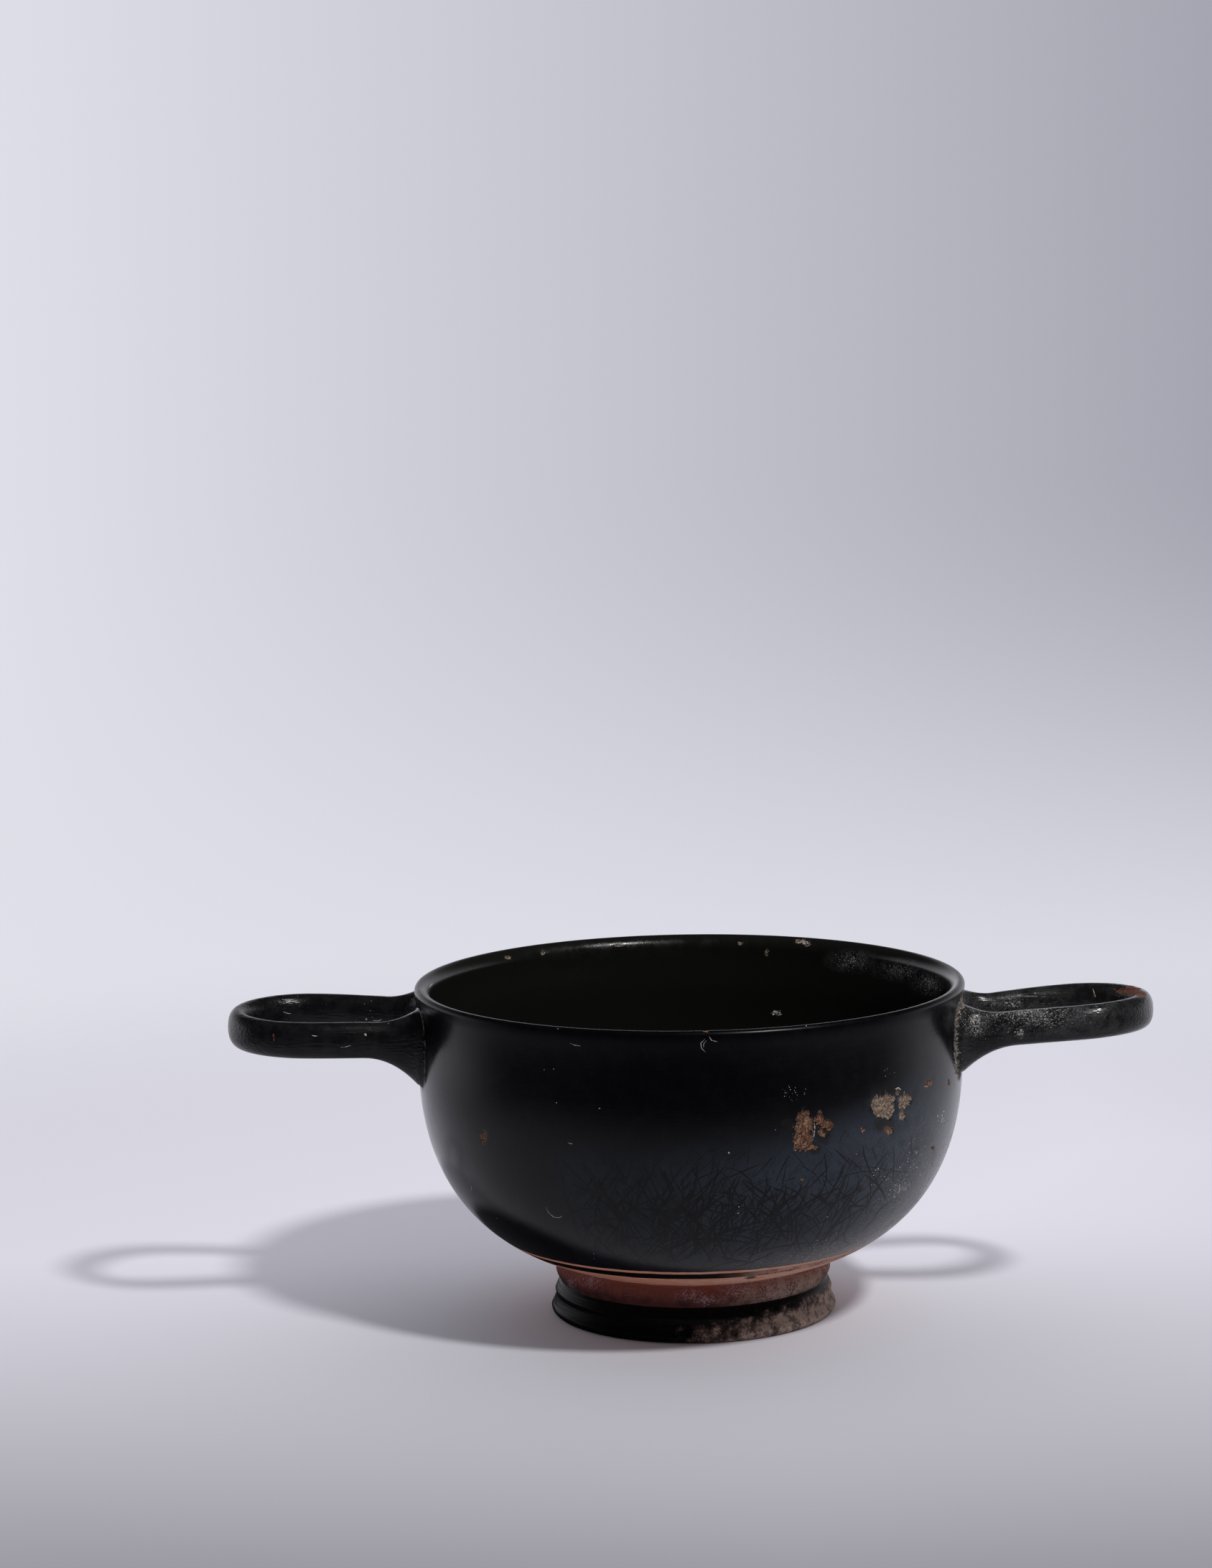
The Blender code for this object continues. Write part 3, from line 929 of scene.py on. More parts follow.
def seam_distance(places, seam):
    """Distance from the nearest seam in millimetres, up to SEAM_REACH."""
    tree = KDTree(len(seam))
    for index in seam:
        tree.insert(Vector(places[index]), int(index))
    tree.balance()
    result = np.full(len(places), SEAM_REACH)
    for index in np.flatnonzero((places[:, 2] > SEAM_SEARCH) & (np.abs(places[:, 0]) > SEAM_SEARCH)):
        distance = tree.find(Vector(places[index]))[2]
        result[index] = min(distance, SEAM_REACH / MM) * MM
    return result


def soften_seams(shape, places, seam):
    """Rounds the crease where each handle meets the wall."""
    distance = seam_distance(places, seam)
    shape.verts.ensure_lookup_table()
    near = [shape.verts[int(index)] for index in np.flatnonzero(distance < SEAM_SOFT)]
    axes = {f"use_axis_{axis}": True for axis in "xyz"}
    for _ in range(SEAM_PASSES):
        bmesh.ops.smooth_vert(shape, verts=near, factor=0.5, **axes)


class Patches:
    """Collects the small meshes that lie on the cup."""

    def __init__(self):
        self.places = []
        self.faces = []
        ball = bmesh.new()
        bmesh.ops.create_icosphere(ball, subdivisions=1, radius=1.0)
        self.ball_places = np.array([vert.co for vert in ball.verts])
        self.ball_faces = [[vert.index for vert in face.verts] for face in ball.faces]
        ball.free()

    def add(self, places, faces):
        first = len(self.places)
        self.places += [tuple(place) for place in places]
        self.faces += [[first + corner for corner in face] for face in faces]

    def add_strip(self, edges):
        """A strip whose places go left, right, left, right."""
        self.add(edges, [[i, i + 1, i + 3, i + 2] for i in range(0, len(edges) - 2, 2)])

    def add_crumb(self, draw, hit, radius_mm):
        """A flattened, rough crumb, sunk a little into the surface."""
        point, normal = hit
        size = radius_mm / MM * draw.uniform(*CRUMB_SIZES)
        spin = Matrix.Rotation(draw.uniform(0, math.tau), 3, "Z")
        turn = np.array(normal.to_track_quat("Z", "Y").to_matrix() @ spin)
        shares = np.array([[draw.uniform(*CRUMB_ROUGH)] for _ in self.ball_places])
        sizes = np.array((size * draw.uniform(*CRUMB_STRETCH), size, size * CRUMB_FLATNESS))
        self.add(self.ball_places * shares * sizes @ turn.T + np.array(point), self.ball_faces)

    def piece(self, name):
        mesh = bpy.data.meshes.new(name)
        mesh.from_pydata(self.places, [], self.faces)
        return new_object(name, mesh)


def add_crumbs(patches, surface, draw):
    for hit, _, _, radius_mm in hits(surface, CRUMBS):
        patches.add_crumb(draw, hit, radius_mm)
    for x, y, half_width, half_height, count, radius_mm in sum(CRUMB_FIELDS.values(), []):
        for _ in range(count):
            spread = math.sqrt(draw.random())
            angle = draw.uniform(0, math.tau)
            across = half_width * spread * math.cos(angle)
            hit = on_cup(surface, x + across, y + half_height * spread * math.sin(angle))
            if hit is not None:
                patches.add_crumb(draw, hit, radius_mm * draw.uniform(*CRUMB_SPREAD))


LINE_STEPS = 5
LINE_LIFT = 0.00002


def add_lines(patches, surface, lines):
    """Thin strips that lie on the surface and taper to both ends."""
    for points, width in lines.values():
        line = []
        for (x0, y0), (x1, y1) in zip(points, points[1:]):
            line += [(x0 + (x1 - x0) * t, y0 + (y1 - y0) * t) for t in (0.0, *steps(LINE_STEPS)[:-1])]
        line.append(points[-1])
        found = [hit for hit in (on_cup(surface, *spot) for spot in line) if hit is not None]
        edges = []
        for index, (point, normal) in enumerate(found):
            ahead = found[min(index + 1, len(found) - 1)][0] - found[max(index - 1, 0)][0]
            taper = math.sin(math.pi * (index + 0.6) / (len(found) + 0.2))
            half = normal.cross(ahead).normalized() * (width / 2 / MM * taper)
            lifted = point + normal * LINE_LIFT
            edges += [lifted - half, lifted + half]
        patches.add_strip(edges)


# Root marks: thin dark lines etched into the lower wall. Angles are in degrees, lengths and widths in
# millimetres. Three numbers are the least, the likeliest and the most
MARK_COUNT = 400
MARK_FAMILIES = (
    {"angle": 57, "spread": 9, "share": 0.44},
    {"angle": 121, "spread": 10, "share": 0.22},
    {"angle": 88, "spread": 8, "share": 0.16},
    {"angle": 30, "spread": 12, "share": 0.11},
    {"angle": 152, "spread": 12, "share": 0.07},
)
MARK_AROUND = (-0.58, -0.10, 1.05)
MARK_HEIGHT = (0.0205, 0.034, 0.0550)
MARK_LENGTH = (2.5, 6.0, 20.0)
MARK_WIDTH = (0.14, 0.34, 0.80)
MARK_BEND = 0.050
MARK_SHAKE = 0.075
MARKS_FADE = (0.036, 0.020)
MARKS_FADE_MOST = 0.7
MARK_UNEVEN = (0.7, 1.2)
MARK_STEP = 0.0011
MARK_LIFT = 0.000012
MARK_FOOT_GAP = 0.012
PROFILE_STEPS = 400


def triangular(draw, limits):
    least, likeliest, most = limits
    return draw.triangular(least, most, likeliest)


def wall_profile():
    """Path length up the outer wall against height, as two arrays."""
    height = np.linspace(FOOT_HEIGHT, BELLY_HEIGHT, PROFILE_STEPS)
    path = np.hypot(np.diff(height), np.diff(outer_radius(height)))
    return np.concatenate(([0.0], np.cumsum(path))), height


def mark_edges(surface, profile, draw, chips):
    """Left and right edges of one root mark along a slightly bent line. It stops at a chip."""
    path_lengths, heights = profile
    family = draw.choices(MARK_FAMILIES, [kind["share"] for kind in MARK_FAMILIES])[0]
    angle = math.radians(draw.gauss(family["angle"], family["spread"]))
    bend = draw.gauss(0.0, MARK_BEND)
    around = triangular(draw, MARK_AROUND)
    height = triangular(draw, MARK_HEIGHT)
    shrink = 1 - min(max((height - MARKS_FADE[0]) / MARKS_FADE[1], 0.0), MARKS_FADE_MOST)
    length = triangular(draw, MARK_LENGTH) / MM * shrink
    width = triangular(draw, MARK_WIDTH) / MM * shrink
    along = float(np.interp(height, heights, path_lengths)) - length / 2 * math.sin(angle)
    around -= length / 2 * math.cos(angle) / BELLY_RADIUS
    count = max(3, round(length / MARK_STEP))
    edges = []
    for index in range(count + 1):
        along = max(along + MARK_STEP * math.sin(angle), MARK_FOOT_GAP)
        along = min(along, path_lengths[-1])
        height = float(np.interp(along, path_lengths, heights))
        radius = float(outer_radius(height))
        around += MARK_STEP * math.cos(angle) / radius
        angle += bend + draw.gauss(0.0, MARK_SHAKE)
        spot = Vector((radius * math.sin(around), -radius * math.cos(around), height))
        if any((spot - chip).length < reach for chip, reach in chips):
            break
        point, normal, _, _ = surface.find_nearest(spot)
        level = Vector((math.cos(around), math.sin(around), 0.0))
        ahead = level * math.cos(angle) + normal.cross(level) * math.sin(angle)
        taper = math.sin(math.pi * (index + 0.5) / (count + 1)) ** 0.5
        half = normal.cross(ahead).normalized() * (width / 2 * taper * draw.uniform(*MARK_UNEVEN))
        lifted = point + normal * MARK_LIFT
        edges += [lifted - half, lifted + half]
    return edges


def root_marks(surface, chips):
    """The etched root marks, one thin strip each."""
    draw = random.Random(SEED + 1)
    patches = Patches()
    profile = wall_profile()
    for _ in range(MARK_COUNT):
        edges = mark_edges(surface, profile, draw, chips)
        if len(edges) > 4:
            patches.add_strip(edges)
    add_lines(patches, surface, DARK_LINES)
    return patches.piece("root_marks")


def lime_deposits(surface):
    """Crumbs of lime and pale scratches."""
    patches = Patches()
    add_crumbs(patches, surface, random.Random(SEED))
    add_lines(patches, surface, SCRATCHES)
    return patches.piece("lime_deposits")


SEAM_CRUMBS = 150
SEAM_CRUMBS_FRONT = -0.011
SEAM_CRUMB_MM = 0.11
SEAM_SPREAD = 0.00080


def seam_crust(surface, places, seam):
    """Lime left in the crease of the right handle's front root."""
    draw = random.Random(SEED + 2)
    patches = Patches()
    right = [index for index in seam if places[index][0] > 0 and places[index][1] < SEAM_CRUMBS_FRONT]
    for _ in range(SEAM_CRUMBS):
        spot = Vector(places[right[draw.randrange(len(right))]])
        spot += Vector([draw.gauss(0.0, SEAM_SPREAD) for _ in range(3)])
        point, normal, _, _ = surface.find_nearest(spot)
        patches.add_crumb(draw, (point, normal), SEAM_CRUMB_MM * draw.uniform(*CRUMB_SIZES))
    return patches.piece("seam_crust")


# Slip, clay and deposits
BLACK = (0.0018, 0.0017, 0.0028)
BLACK_INSIDE = (0.0066, 0.0067, 0.0058)
BLACK_WARM = (0.0036, 0.0028, 0.0026)
# Slate grey: partly the slip's own tone, partly a painted sheen of the lit floor
SLATE_AND_SHEEN = (0.024, 0.032, 0.045)
MARK_BLACK = (0.0030, 0.0030, 0.0036)
ORANGE_CLAY = (0.60, 0.25, 0.155)
ORANGE_DUSTY = (0.58, 0.34, 0.26)
# The cushion's reds: its dull red darkened with painted shade from the bowl above, and a painted lit tone for
# its top
RED_PAINTED_LIT_TOP = (0.28, 0.085, 0.060)
RED_BAND_SHADED = (0.088, 0.024, 0.021)
RED_DARK = (0.045, 0.015, 0.014)
BAND_HAZE = (0.50, 0.40, 0.43)
FOOT_BUFF = (0.34, 0.25, 0.20)
FOOT_BROWN = (0.085, 0.055, 0.044)
FOOT_GREY = (0.0045, 0.0050, 0.0050)
FOOT_KEPT = (0.016, 0.014, 0.013)
CHIP_CLAY = (0.20, 0.084, 0.041)
CHIP_CLAY_DEEP = (0.085, 0.033, 0.017)
CHIP_OCHRE = (0.34, 0.215, 0.125)
CHIP_RED = (0.15, 0.048, 0.030)
CHIP_CLAY_DARK = (0.052, 0.025, 0.017)
CHIP_BUFF = (0.34, 0.25, 0.18)
CHIP_BUFF_DEEP = (0.135, 0.092, 0.063)
CHIP_BUFF_DARK = (0.07, 0.048, 0.034)
LIME_PALE = (0.50, 0.48, 0.44)
CRUST_PALE = (0.34, 0.31, 0.265)
CRUST_DARK = (0.022, 0.016, 0.013)
CRUST_RED = (0.085, 0.032, 0.018)
# The right handle's black is lighter than the left's: partly dust, partly a painted broad sheen round its
# highlight
HANDLE_BLACK = (0.017, 0.0175, 0.017)
LEFT_HANDLE_BLACK = (0.0095, 0.0095, 0.0100)
DUST = (0.17, 0.17, 0.175)
STAIN_BLACK = (0.0075, 0.0068, 0.0055)

# Lengths inside the shader are in millimetres, and angles in radians round the axis, 0 in front and more to
# the right. A pair is where a mask is still 0 and where it is 1
BODY_END = 19.55
STRIPE_END = 18.80
LINE_END = 16.95
CUSHION_TOP = FOOT_HEIGHT * MM
CUSHION_BOTTOM = (BASE_HEIGHT + COLLAR_HEIGHT) * MM
BAND_WOBBLE = 0.28
BAND_EDGE = 0.09
TO_RIGHT_HANDLE = (-10.0, 10.0)
SLATE_ANGLES = ((-0.66, -0.36), (1.75, 1.2))
SLATE_GROWS = (-0.35, 0.55)
SLATE_HEIGHTS = ((17.0, 25.0), (56.0, 43.0))
SLATE_DIP = -9.0
SLATE_DIPS = (0.25, 0.9)
ETCHED_ANGLES = ((-1.0, -0.35), (1.7, 1.1))
ETCHED_HEIGHTS = ((19.0, 26.0), (54.0, 40.0))
DUST_ANGLES = ((0.45, 1.15), (2.3, 1.6))
DUST_TOP = (60.0, 36.0)
LOW_DUST_ANGLES = (-0.1, 0.7)
LOW_DUST_HEIGHTS = ((30.0, 20.0), (17.0, 19.0))
GRIT_ANGLES = (0.35, 0.80)
GRIT_TOP = (40.0, 30.0)
LINE_WORN_ANGLES = (0.10, 0.55)
BAND_WORN_ANGLES = (0.05, 0.75)
FOOT_WORN_HEIGHTS = (2.5, 7.0)
FOOT_WORN_ANGLES = ((-0.35, 0.15), (2.9, 2.2))
COLLAR_KEPT_HEIGHTS = (7.7, 8.9)
UNDERSIDE_RADII = (27.6, 27.0)
UNDERSIDE_HEIGHTS = (0.25, 0.08)
CRUST_EDGE = (1.25, 0.55)
CRUST_REACH = (2.0, 1.5)
CRUST_CREASE = (0.42, 0.20)
CRUST_FRONT = (-8.0, -13.0)
LIP_HEIGHTS = (72.6, 74.6)
LIP_RADII = (60.7, 61.4)
LIP_WIDER_LEFT = (-15.0, -42.0)
PITTED_BACK = (3.0, 8.0)
PITTED_ALONG = ((60.0, 63.0), (92.0, 84.0))
BACK_LIP_HEIGHTS = (70.0, 73.0)
BACK_LIP_DEPTHS = (40.0, 52.0)
# Scale, detail and roughness of the noises that several parts of the material share
NOISES = {
    "broad": (0.045, 3.0, 0.5),
    "medium": (0.35, 4.0, 0.6),
    "fine": (2.4, 3.0, 0.6),
    "grain": (6.0, 2.0, 0.6),
    "lumps": (0.9, 3.0, 0.7),
    "grains": (1.5, 2.0, 0.6),
}


class Slip:
    """Places, noises and masks that the parts of the slip's material share."""

    def __init__(self, g, surface):
        self.g = g
        self.place = g.scaled(g.node("TexCoord", output="Object"), MM)
        self.x, self.y, self.height = g.split(self.place)
        self.radius = g.math("SQRT", self.x * self.x + self.y * self.y, 0.0)
        self.around = g.math("ARCTAN2", self.x, self.y * -1.0)
        across = self.around * (BELLY_RADIUS * MM)
        slope = self.height + (BELLY_RADIUS * MM - self.radius) * 0.7
        sheet = g.combine(across, slope)
        for name, look in NOISES.items():
            setattr(self, name, g.noise(self.place, *look))
        self.rings = g.noise(g.combine(across * 0.03, slope * 1.5, self.radius * 0.1), 1.0, 3.0, 0.6)
        self.streaks = g.noise(g.stretched(sheet, (1.7, 0.22, 1.0)), 1.0, 3.0, 0.6)
        self.etched = g.noise(g.stretched(sheet, (1.0, 0.45, 1.0)), 1.1, 3.0, 0.65)
        slanted = g.combine(across * 0.24 + slope * 0.18, slope * 1.7 + across * -1.25)
        self.wiped = g.noise(slanted, 1.0, 3.0, 0.65)
        for name in ("inside", "handle", "clay_chip", "buff_chip", "seam"):
            setattr(self, name, g.attribute(name))
        self.outside = (1.0 - self.inside) * (1.0 - self.handle)
        self.haze = g.highest(g.marked(self.place, surface, HAZE), 0.0)
        self.lime = g.marked(self.place, surface, LIME)
        self.stain = g.marked(self.place, surface, STAIN)
        self.bloom = g.marked(self.place, surface, BLOOM)


def black_slip(s):
    """Black slip, with slate-grey patches on the lower right, partly the slip's own weathered tone and partly
    a painted sheen of the lit floor, and faint etching over them.
    """
    g = s.g
    to_right = g.blend(s.around.smooth(*SLATE_GROWS), 0.42, 1.0) * s.around.smooth(*SLATE_ANGLES[0])
    dipped = s.height + s.around.smooth(*SLATE_DIPS) * SLATE_DIP
    low = s.height.smooth(*SLATE_HEIGHTS[0]) * dipped.smooth(*SLATE_HEIGHTS[1])
    patchy = (s.broad * 0.6 + s.medium * 0.4).smooth(0.34, 0.62)
    # Slate patches, partly the slip's tone and partly a painted sheen of the lit floor
    slate_and_sheen = to_right * low * s.outside * g.blend(patchy, 0.45, 1.0) * s.around.smooth(*SLATE_ANGLES[1])
    etched = s.outside * s.etched.smooth(0.50, 0.62)
    s.marks = etched.limited(s.height, ETCHED_HEIGHTS).limited(s.around, ETCHED_ANGLES)
    black = g.mix(s.medium.smooth(0.45, 0.75), BLACK, BLACK_WARM)
    # Right handle lighter: partly dust, partly a painted broad sheen
    handle_black = g.mix(s.x.smooth(*TO_RIGHT_HANDLE), LEFT_HANDLE_BLACK, HANDLE_BLACK)
    black = g.mix(s.handle * g.blend(s.medium.smooth(0.38, 0.62), 0.4, 1.0), black, handle_black)
    black = g.mix(s.inside, black, BLACK_INSIDE)
    colour = g.mix(slate_and_sheen, black, SLATE_AND_SHEEN)
    colour = g.mix(s.marks * 0.4, colour, MARK_BLACK)
    flecks = (s.fine * 0.5 + s.grain * 0.5).smooth(0.45, 0.36)
    return g.mix(flecks * slate_and_sheen * 1.2, colour, MARK_BLACK)


def soil_film(s, colour):
    """Pale film and grains where the cup lay in the soil."""
    g = s.g
    left, right = DUST_ANGLES
    dusty = s.outside * s.around.smooth(*left) * s.height.smooth(*DUST_TOP) * s.around.smooth(*right)
    low_dust = (s.outside * s.around.smooth(*LOW_DUST_ANGLES)).limited(s.height, LOW_DUST_HEIGHTS)
    film = g.highest(dusty * 0.55, low_dust * 0.70, s.haze * 0.85)
    patches = s.medium * 0.35 + s.fine * 0.30 + s.wiped * 0.35
    s.film_share = film * patches.smooth(0.40, 0.64)
    colour = g.mix(s.film_share * 0.55, colour, DUST)
    gritty = s.outside * s.around.smooth(*GRIT_ANGLES) * s.height.smooth(*GRIT_TOP)
    speck = s.fine * 0.55 + s.grain * 0.45 + film * 0.18 + gritty * 0.018
    s.speck = speck.smooth(0.66, 0.72) * film.smooth(0.05, 0.3)
    return g.mix(s.speck * 0.8, colour, LIME_PALE)


def reserved_stripe(s, level):
    """Bare clay with a thin black line round it, worn off on the right."""
    g = s.g
    reserved = g.mix((s.medium + s.around * 0.12).smooth(0.40, 0.62), ORANGE_CLAY, ORANGE_DUSTY)
    worn = s.around.smooth(*LINE_WORN_ANGLES) * (s.medium * 0.4 + s.fine * 0.6).smooth(0.36, 0.56)
    s.line = level.between(LINE_END, STRIPE_END, BAND_EDGE) * (1.0 - worn * 0.85)
    return g.mix(s.line, reserved, BLACK_WARM)


def red_cushion(s):
    """Dull red, darkened by painted shade from the bowl and painted lighter at its top, with a pale bloom and
    worn on the right.
    """
    g = s.g
    red = g.mix(s.medium.smooth(0.36, 0.62), RED_DARK, RED_BAND_SHADED)
    # Painted light: the cushion's upper part lighter, as if lit from above
    painted_light_height = s.height + (s.fine - 0.5) * 3.0
    red = g.mix(painted_light_height.smooth(CUSHION_BOTTOM + 1.0, CUSHION_TOP + 0.6), red, RED_PAINTED_LIT_TOP)
    hazy = s.bloom * 0.40 + (s.fine - 0.5) * 2.4 + (s.wiped - 0.5) * 2.2
    red = g.mix(hazy.smooth(0.0, 0.95) * s.bloom.smooth(-0.9, 0.4) * 0.60, red, BAND_HAZE)
    worn = s.around.smooth(*BAND_WORN_ANGLES) * (s.medium * 0.5 + s.fine * 0.5).smooth(0.36, 0.60)
    return g.mix(worn * 0.75, red, FOOT_BUFF)


def foot_slip(s):
    """Black with dusty turning rings, worn down to buff clay on the right."""
    g = s.g
    dust_rings = (s.rings * 0.6 + s.medium * 0.4).smooth(0.45, 0.70)
    black = g.mix(dust_rings * 0.55, BLACK_WARM, FOOT_GREY)
    turned = s.around - s.height.smooth(*FOOT_WORN_HEIGHTS)
    worn = (turned + (s.medium - 0.5) * 2.6).smooth(-0.55, 0.75).limited(s.around, FOOT_WORN_ANGLES)
    collar_kept = (s.height + s.medium * 3.0).smooth(*COLLAR_KEPT_HEIGHTS) * 0.9
    s.foot_worn = worn * (1.0 - collar_kept)
    thin = s.fine * 0.45 + s.medium * 0.25 + s.foot_worn * 0.30
    buff = g.mix(thin.smooth(0.46, 0.70), FOOT_BROWN, FOOT_BUFF)
    kept = g.noise(s.place, 0.42, 4.0, 0.7).smooth(0.50, 0.60)
    buff = g.mix(kept * 0.64, buff, FOOT_KEPT)
    worn_share = (s.foot_worn + (s.fine - 0.5) * 0.9).smooth(0.05, 0.60)
    return g.mix(worn_share * 0.94, black, buff)


def bands(s, colour):
    """The bands round the lower wall and the foot, and the bare underside."""
    g = s.g
    level = s.height + (g.noise(s.place, 0.25, 2.0) - 0.5) * BAND_WOBBLE
    s.banded = (1.0 - s.inside) * level.smooth(BODY_END + BAND_EDGE, BODY_END - BAND_EDGE)
    cushion = level.smooth(CUSHION_TOP + 0.12, CUSHION_TOP - 0.12)
    band = g.mix(cushion, reserved_stripe(s, level), red_cushion(s))
    s.foot = level.smooth(CUSHION_BOTTOM + 0.15, CUSHION_BOTTOM - 0.10)
    band = g.mix(s.foot, band, foot_slip(s))
    under = g.highest(s.radius.smooth(*UNDERSIDE_RADII), s.height.smooth(*UNDERSIDE_HEIGHTS))
    bare = g.mix(s.medium.smooth(0.42, 0.62), ORANGE_CLAY, FOOT_BUFF)
    return g.mix(s.banded, colour, g.mix(under, band, bare))


def chips(s, colour):
    """Stains, and chips down to the clay with crystals of lime in them."""
    g = s.g
    speckle = s.fine * 0.6 + s.medium * 0.4 - 0.5
    colour = g.mix((s.stain + speckle * 2.6).smooth(-0.05, 0.35) * 0.85, colour, STAIN_BLACK)
    edge = (s.fine * 0.6 + s.grain * 0.4 - 0.5) * 1.5
    clay_share = (s.clay_chip + edge).smooth(-0.03, 0.09)
    buff_share = (s.buff_chip + edge).smooth(-0.03, 0.09)
    s.spots = (s.fine * 0.5 + s.grain * 0.5).smooth(0.40, 0.56)
    mottled = g.noise(s.place, 1.3, 3.0, 0.7).smooth(0.42, 0.58)
    clay = g.mix(mottled, CHIP_CLAY_DEEP, CHIP_CLAY)
    clay = g.mix(s.lumps.smooth(0.50, 0.60) * 0.75, clay, CHIP_OCHRE)
    clay = g.mix(s.handle, clay, CHIP_RED)
    buff = g.mix(mottled, CHIP_BUFF_DEEP, CHIP_BUFF)
    colour = g.mix(clay_share, colour, g.mix(s.spots, CHIP_CLAY_DARK, clay))
    colour = g.mix(buff_share, colour, g.mix(s.spots, CHIP_BUFF_DARK, buff))
    pale = (s.fine * 0.6 + s.grain * 0.4).smooth(0.56, 0.64)
    s.chipped = g.highest(clay_share, buff_share)
    crystals = s.chipped * (1.0 - s.handle * 0.8) * pale
    return g.mix(crystals * 0.42, colour, LIME_PALE)


def crusts(s, colour):
    """Lime where it lies thick, and earthy lime in the seams of the right handle."""
    g = s.g
    speckle = s.fine * 0.6 + s.medium * 0.4 - 0.5
    s.lime_share = (s.lime + speckle * 3.0).smooth(0.25, 0.75) * s.grains.smooth(0.42, 0.54)
    colour = g.mix(s.lime_share * g.blend(s.spots, 0.20, 0.75), colour, LIME_PALE)
    right_side = s.x.smooth(0.0, 10.0)
    uneven = (s.lumps - 0.5) * 5.0 + (s.fine - 0.5) * 1.6
    crust = (s.seam + uneven).smooth(*CRUST_EDGE) * s.seam.smooth(*CRUST_REACH) * right_side
    tone = g.mix((s.grains * 0.8 + s.grain * 0.2).smooth(0.46, 0.54), CRUST_DARK, CRUST_PALE)
    creased = (s.seam + (s.lumps - 0.5) * 1.5).smooth(*CRUST_CREASE) * right_side
    tone = g.mix(creased * s.grains.smooth(0.56, 0.46) * 0.8, tone, CRUST_RED)
    s.crust = crust * g.blend(s.y.smooth(*CRUST_FRONT), 0.30, 1.0)
    return g.mix(s.crust * 0.74, colour, tone)


def finish_of(s):
    """Roughness, specular level, and relief in millimetres."""
    g = s.g
    bare_band = s.banded * (1.0 - s.line * 0.8) * (1.0 - s.foot * (1.0 - s.foot_worn) * 0.92)
    matt = g.highest(s.chipped, s.lime_share * 0.8, s.crust, bare_band, s.speck)
    reach = s.radius + s.x.smooth(*LIP_WIDER_LEFT) * 2.0
    lip = s.height.smooth(*LIP_HEIGHTS) * reach.smooth(*LIP_RADII) * (1.0 - s.handle)
    back_lip = s.height.smooth(*BACK_LIP_HEIGHTS) * s.y.smooth(*BACK_LIP_DEPTHS)
    pitted = (s.handle * s.y.smooth(*PITTED_BACK)).limited(s.x, PITTED_ALONG)
    handle_gloss = g.blend(s.x.smooth(*TO_RIGHT_HANDLE), 0.26, 0.165)
    gloss = g.blend(s.handle, g.blend(s.banded, 0.185, 0.25), handle_gloss)
    gloss += (s.medium - 0.5) * 0.12
    gloss += (s.streaks - 0.5) * s.outside * 0.14
    gloss += s.film_share * 0.16
    gloss += back_lip * g.blend(s.medium.smooth(0.40, 0.60), 0.02, 0.16)
    gloss += s.marks * 0.03
    gloss += lip * 0.10
    level = g.blend(lip, g.blend(s.streaks, 0.30, 0.24), 0.15)
    level = g.blend(matt, g.blend(s.banded, level, 0.05), 0.20)
    relief = s.broad * 0.10
    relief += s.rings * g.blend(s.banded, 0.006, 0.11)
    relief += s.medium * 0.010
    relief += g.noise(g.stretched(s.place, (0.15, 1.7, 1.7)), 1.0, 2.0) * s.handle * 0.15
    relief += s.fine * g.highest(s.handle, lip) * 0.004
    relief += s.fine * pitted * 0.026
    relief += s.fine * back_lip * 0.030
    relief += s.grain * 0.0004
    relief += s.chipped * s.fine * 0.11
    relief += s.lime_share * s.fine * 0.16
    relief += s.crust * s.fine * 0.20
    relief += s.speck * 0.03
    relief += s.marks * -0.004
    return g.blend(matt, gloss, 0.85), level, relief


def slip_material(surface):
    material = bpy.data.materials.new("black_gloss_slip")
    g = Graph(material)
    s = Slip(g, surface)
    colour = crusts(s, chips(s, bands(s, soil_film(s, black_slip(s)))))
    roughness, level, relief = finish_of(s)
    look = {
        "Base Color": colour,
        "Roughness": roughness,
        "Specular IOR Level": level,
        "Normal": g.node("Bump", {"Strength": 1.0, "Distance": 1.0 / MM, "Height": relief}),
    }
    g.finish("Material", g.node("BsdfPrincipled", look))
    return material


def plain_material(name, colour, dark, scale, roughness, gloss):
    """One tone that a little noise darkens."""
    material = bpy.data.materials.new(name)
    g = Graph(material)
    where = g.scaled(g.node("TexCoord", output="Object"), MM)
    tone = g.mix(g.noise(where, scale, 2.0).smooth(0.35, 0.65), dark, colour)
    look = {"Base Color": tone, "Roughness": roughness, "Specular IOR Level": gloss}
    g.finish("Material", g.node("BsdfPrincipled", look))
    return material


def surface_of(mesh):
    shape = bmesh.new()
    shape.from_mesh(mesh)
    tree = BVHTree.FromBMesh(shape)
    shape.free()
    return tree


def chip_spots(surface):
    """(middle, reach) of each chip."""
    spots = []
    for (point, _), _, _, half_width, half_height in (*hits(surface, CLAY_CHIPS), *hits(surface, BUFF_CHIPS)):
        spots.append((point, chip_reach(half_width, half_height) + FINE_MARGIN))
    return spots


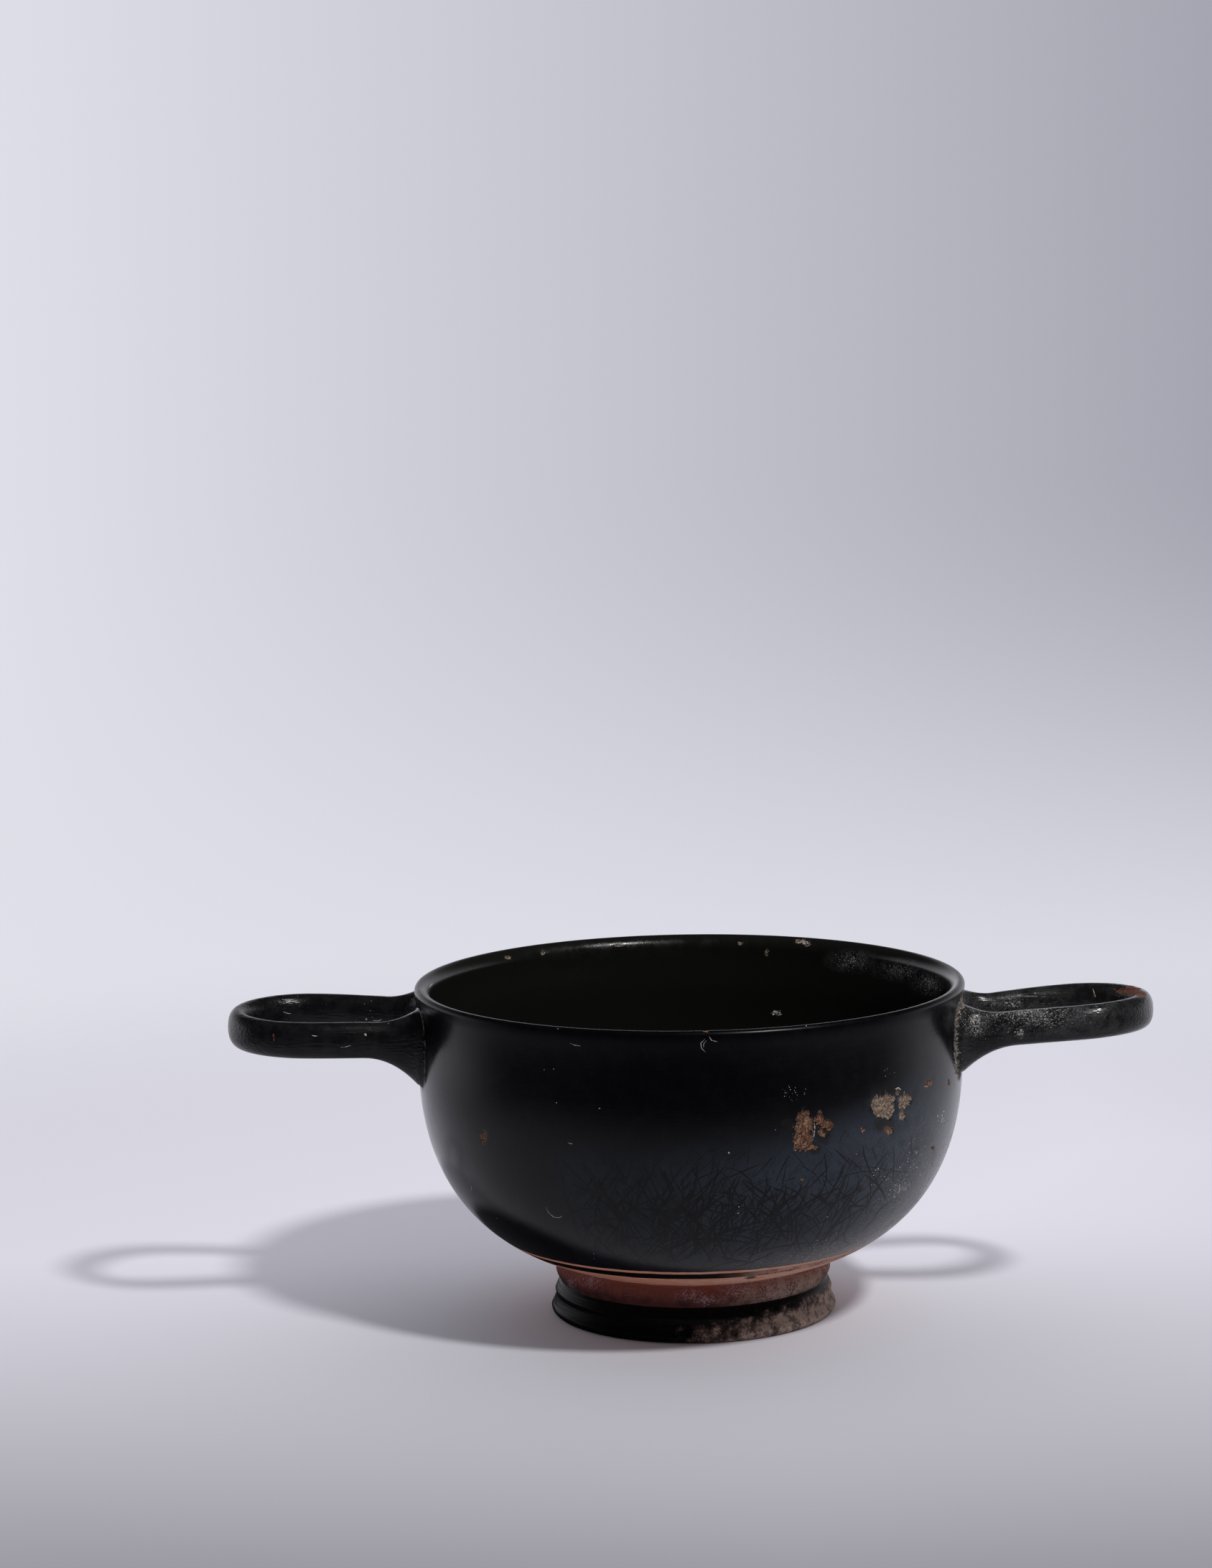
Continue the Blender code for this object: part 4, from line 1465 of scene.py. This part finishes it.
def weather(cup):
    """Finer mesh at the chips, the chips themselves, and the masks that the slip's material reads."""
    mesh = cup.data
    surface = surface_of(mesh)
    shape = bmesh.new()
    shape.from_mesh(mesh)
    places = vertex_rows(mesh, "co")
    seam = seam_points(mesh, places)
    soften_seams(shape, places, seam)
    bmesh.ops.triangulate(shape, faces=[face for face in shape.faces if len(face.verts) > 4])
    seam_line = [(places[index], SEAM_FINE) for index in seam if places[index][0] > 0]
    refine(shape, chip_spots(surface) + seam_line)
    bmesh.ops.recalc_face_normals(shape, faces=shape.faces)
    shape.to_mesh(mesh)
    shape.free()
    mesh.update()

    places = vertex_rows(mesh, "co")
    normals = vertex_rows(mesh, "normal")
    clay = mark_field(places, normals, surface, CLAY_CHIPS)
    buff = mark_field(places, normals, surface, BUFF_CHIPS)
    sunk = np.clip(np.maximum(clay, buff) / CHIP_EDGE, 0.0, 1.0)
    depth = CHIP_DEPTH * sunk * sunk * (3 - 2 * sunk)
    radius = np.hypot(places[:, 0], places[:, 1])
    height = places[:, 2]
    wall = wall_radius(height)
    handle = (radius > wall + HANDLE_GAP) & (height > HANDLE_LOWEST) & (height < HANDLE_TOP)
    handle &= np.abs(places[:, 0]) > HANDLE_NEAREST
    inside = (radius < wall - INSIDE_GAP) & (height > FLOOR_HEIGHT - FLOOR_SLACK)
    seam = seam_points(mesh, places)
    masks = {
        "clay_chip": clay,
        "buff_chip": buff,
        "seam": seam_distance(places, seam),
        "inside": inside,
        "handle": handle,
    }
    mesh.vertices.foreach_set("co", (places - normals * depth[:, None]).ravel())
    for name, values in masks.items():
        attribute = mesh.attributes.new(name, "FLOAT", "POINT")
        attribute.data.foreach_set("value", np.asarray(values, dtype=np.float32))
    mesh.update()
    return seam


def dress(piece, material):
    """Gives a piece its material and fixes it to the cup's body."""
    piece.data.materials.clear()
    piece.data.materials.append(material)
    piece.data.shade_smooth()
    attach(piece, "root")


# Name, tone, dark tone, scale of the noise, roughness and gloss
LIME_LOOK = ("lime", (0.60, 0.58, 0.54), (0.20, 0.18, 0.15), 1.3, 0.85, 0.25)
CRUST_LOOK = ("crust", (0.40, 0.36, 0.31), (0.10, 0.055, 0.035), 1.6, 0.9, 0.20)
ETCHED_LOOK = ("etched_slip", (0.0062, 0.0062, 0.0088), (0.0030, 0.0029, 0.0042), 0.5, 0.24, 0.25)


def make_cup():
    cup = joined_cup()
    spots = chip_spots(surface_of(cup.data))
    seam = weather(cup)
    surface = surface_of(cup.data)
    lime = lime_deposits(surface)
    crust = seam_crust(surface, vertex_rows(cup.data, "co"), seam)
    marks = root_marks(surface, spots)
    dress(cup, slip_material(surface))
    dress(lime, plain_material(*LIME_LOOK))
    dress(crust, plain_material(*CRUST_LOOK))
    dress(marks, plain_material(*ETCHED_LOOK))
    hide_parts("kylix_cup")


def view_settings():
    settings = bpy.context.scene.view_settings
    settings.view_transform = "Standard"
    settings.look = "None"
    settings.exposure = 0.0


add_camera()
add_key_light()
paint_world()
add_floor()
make_cup()
view_settings()
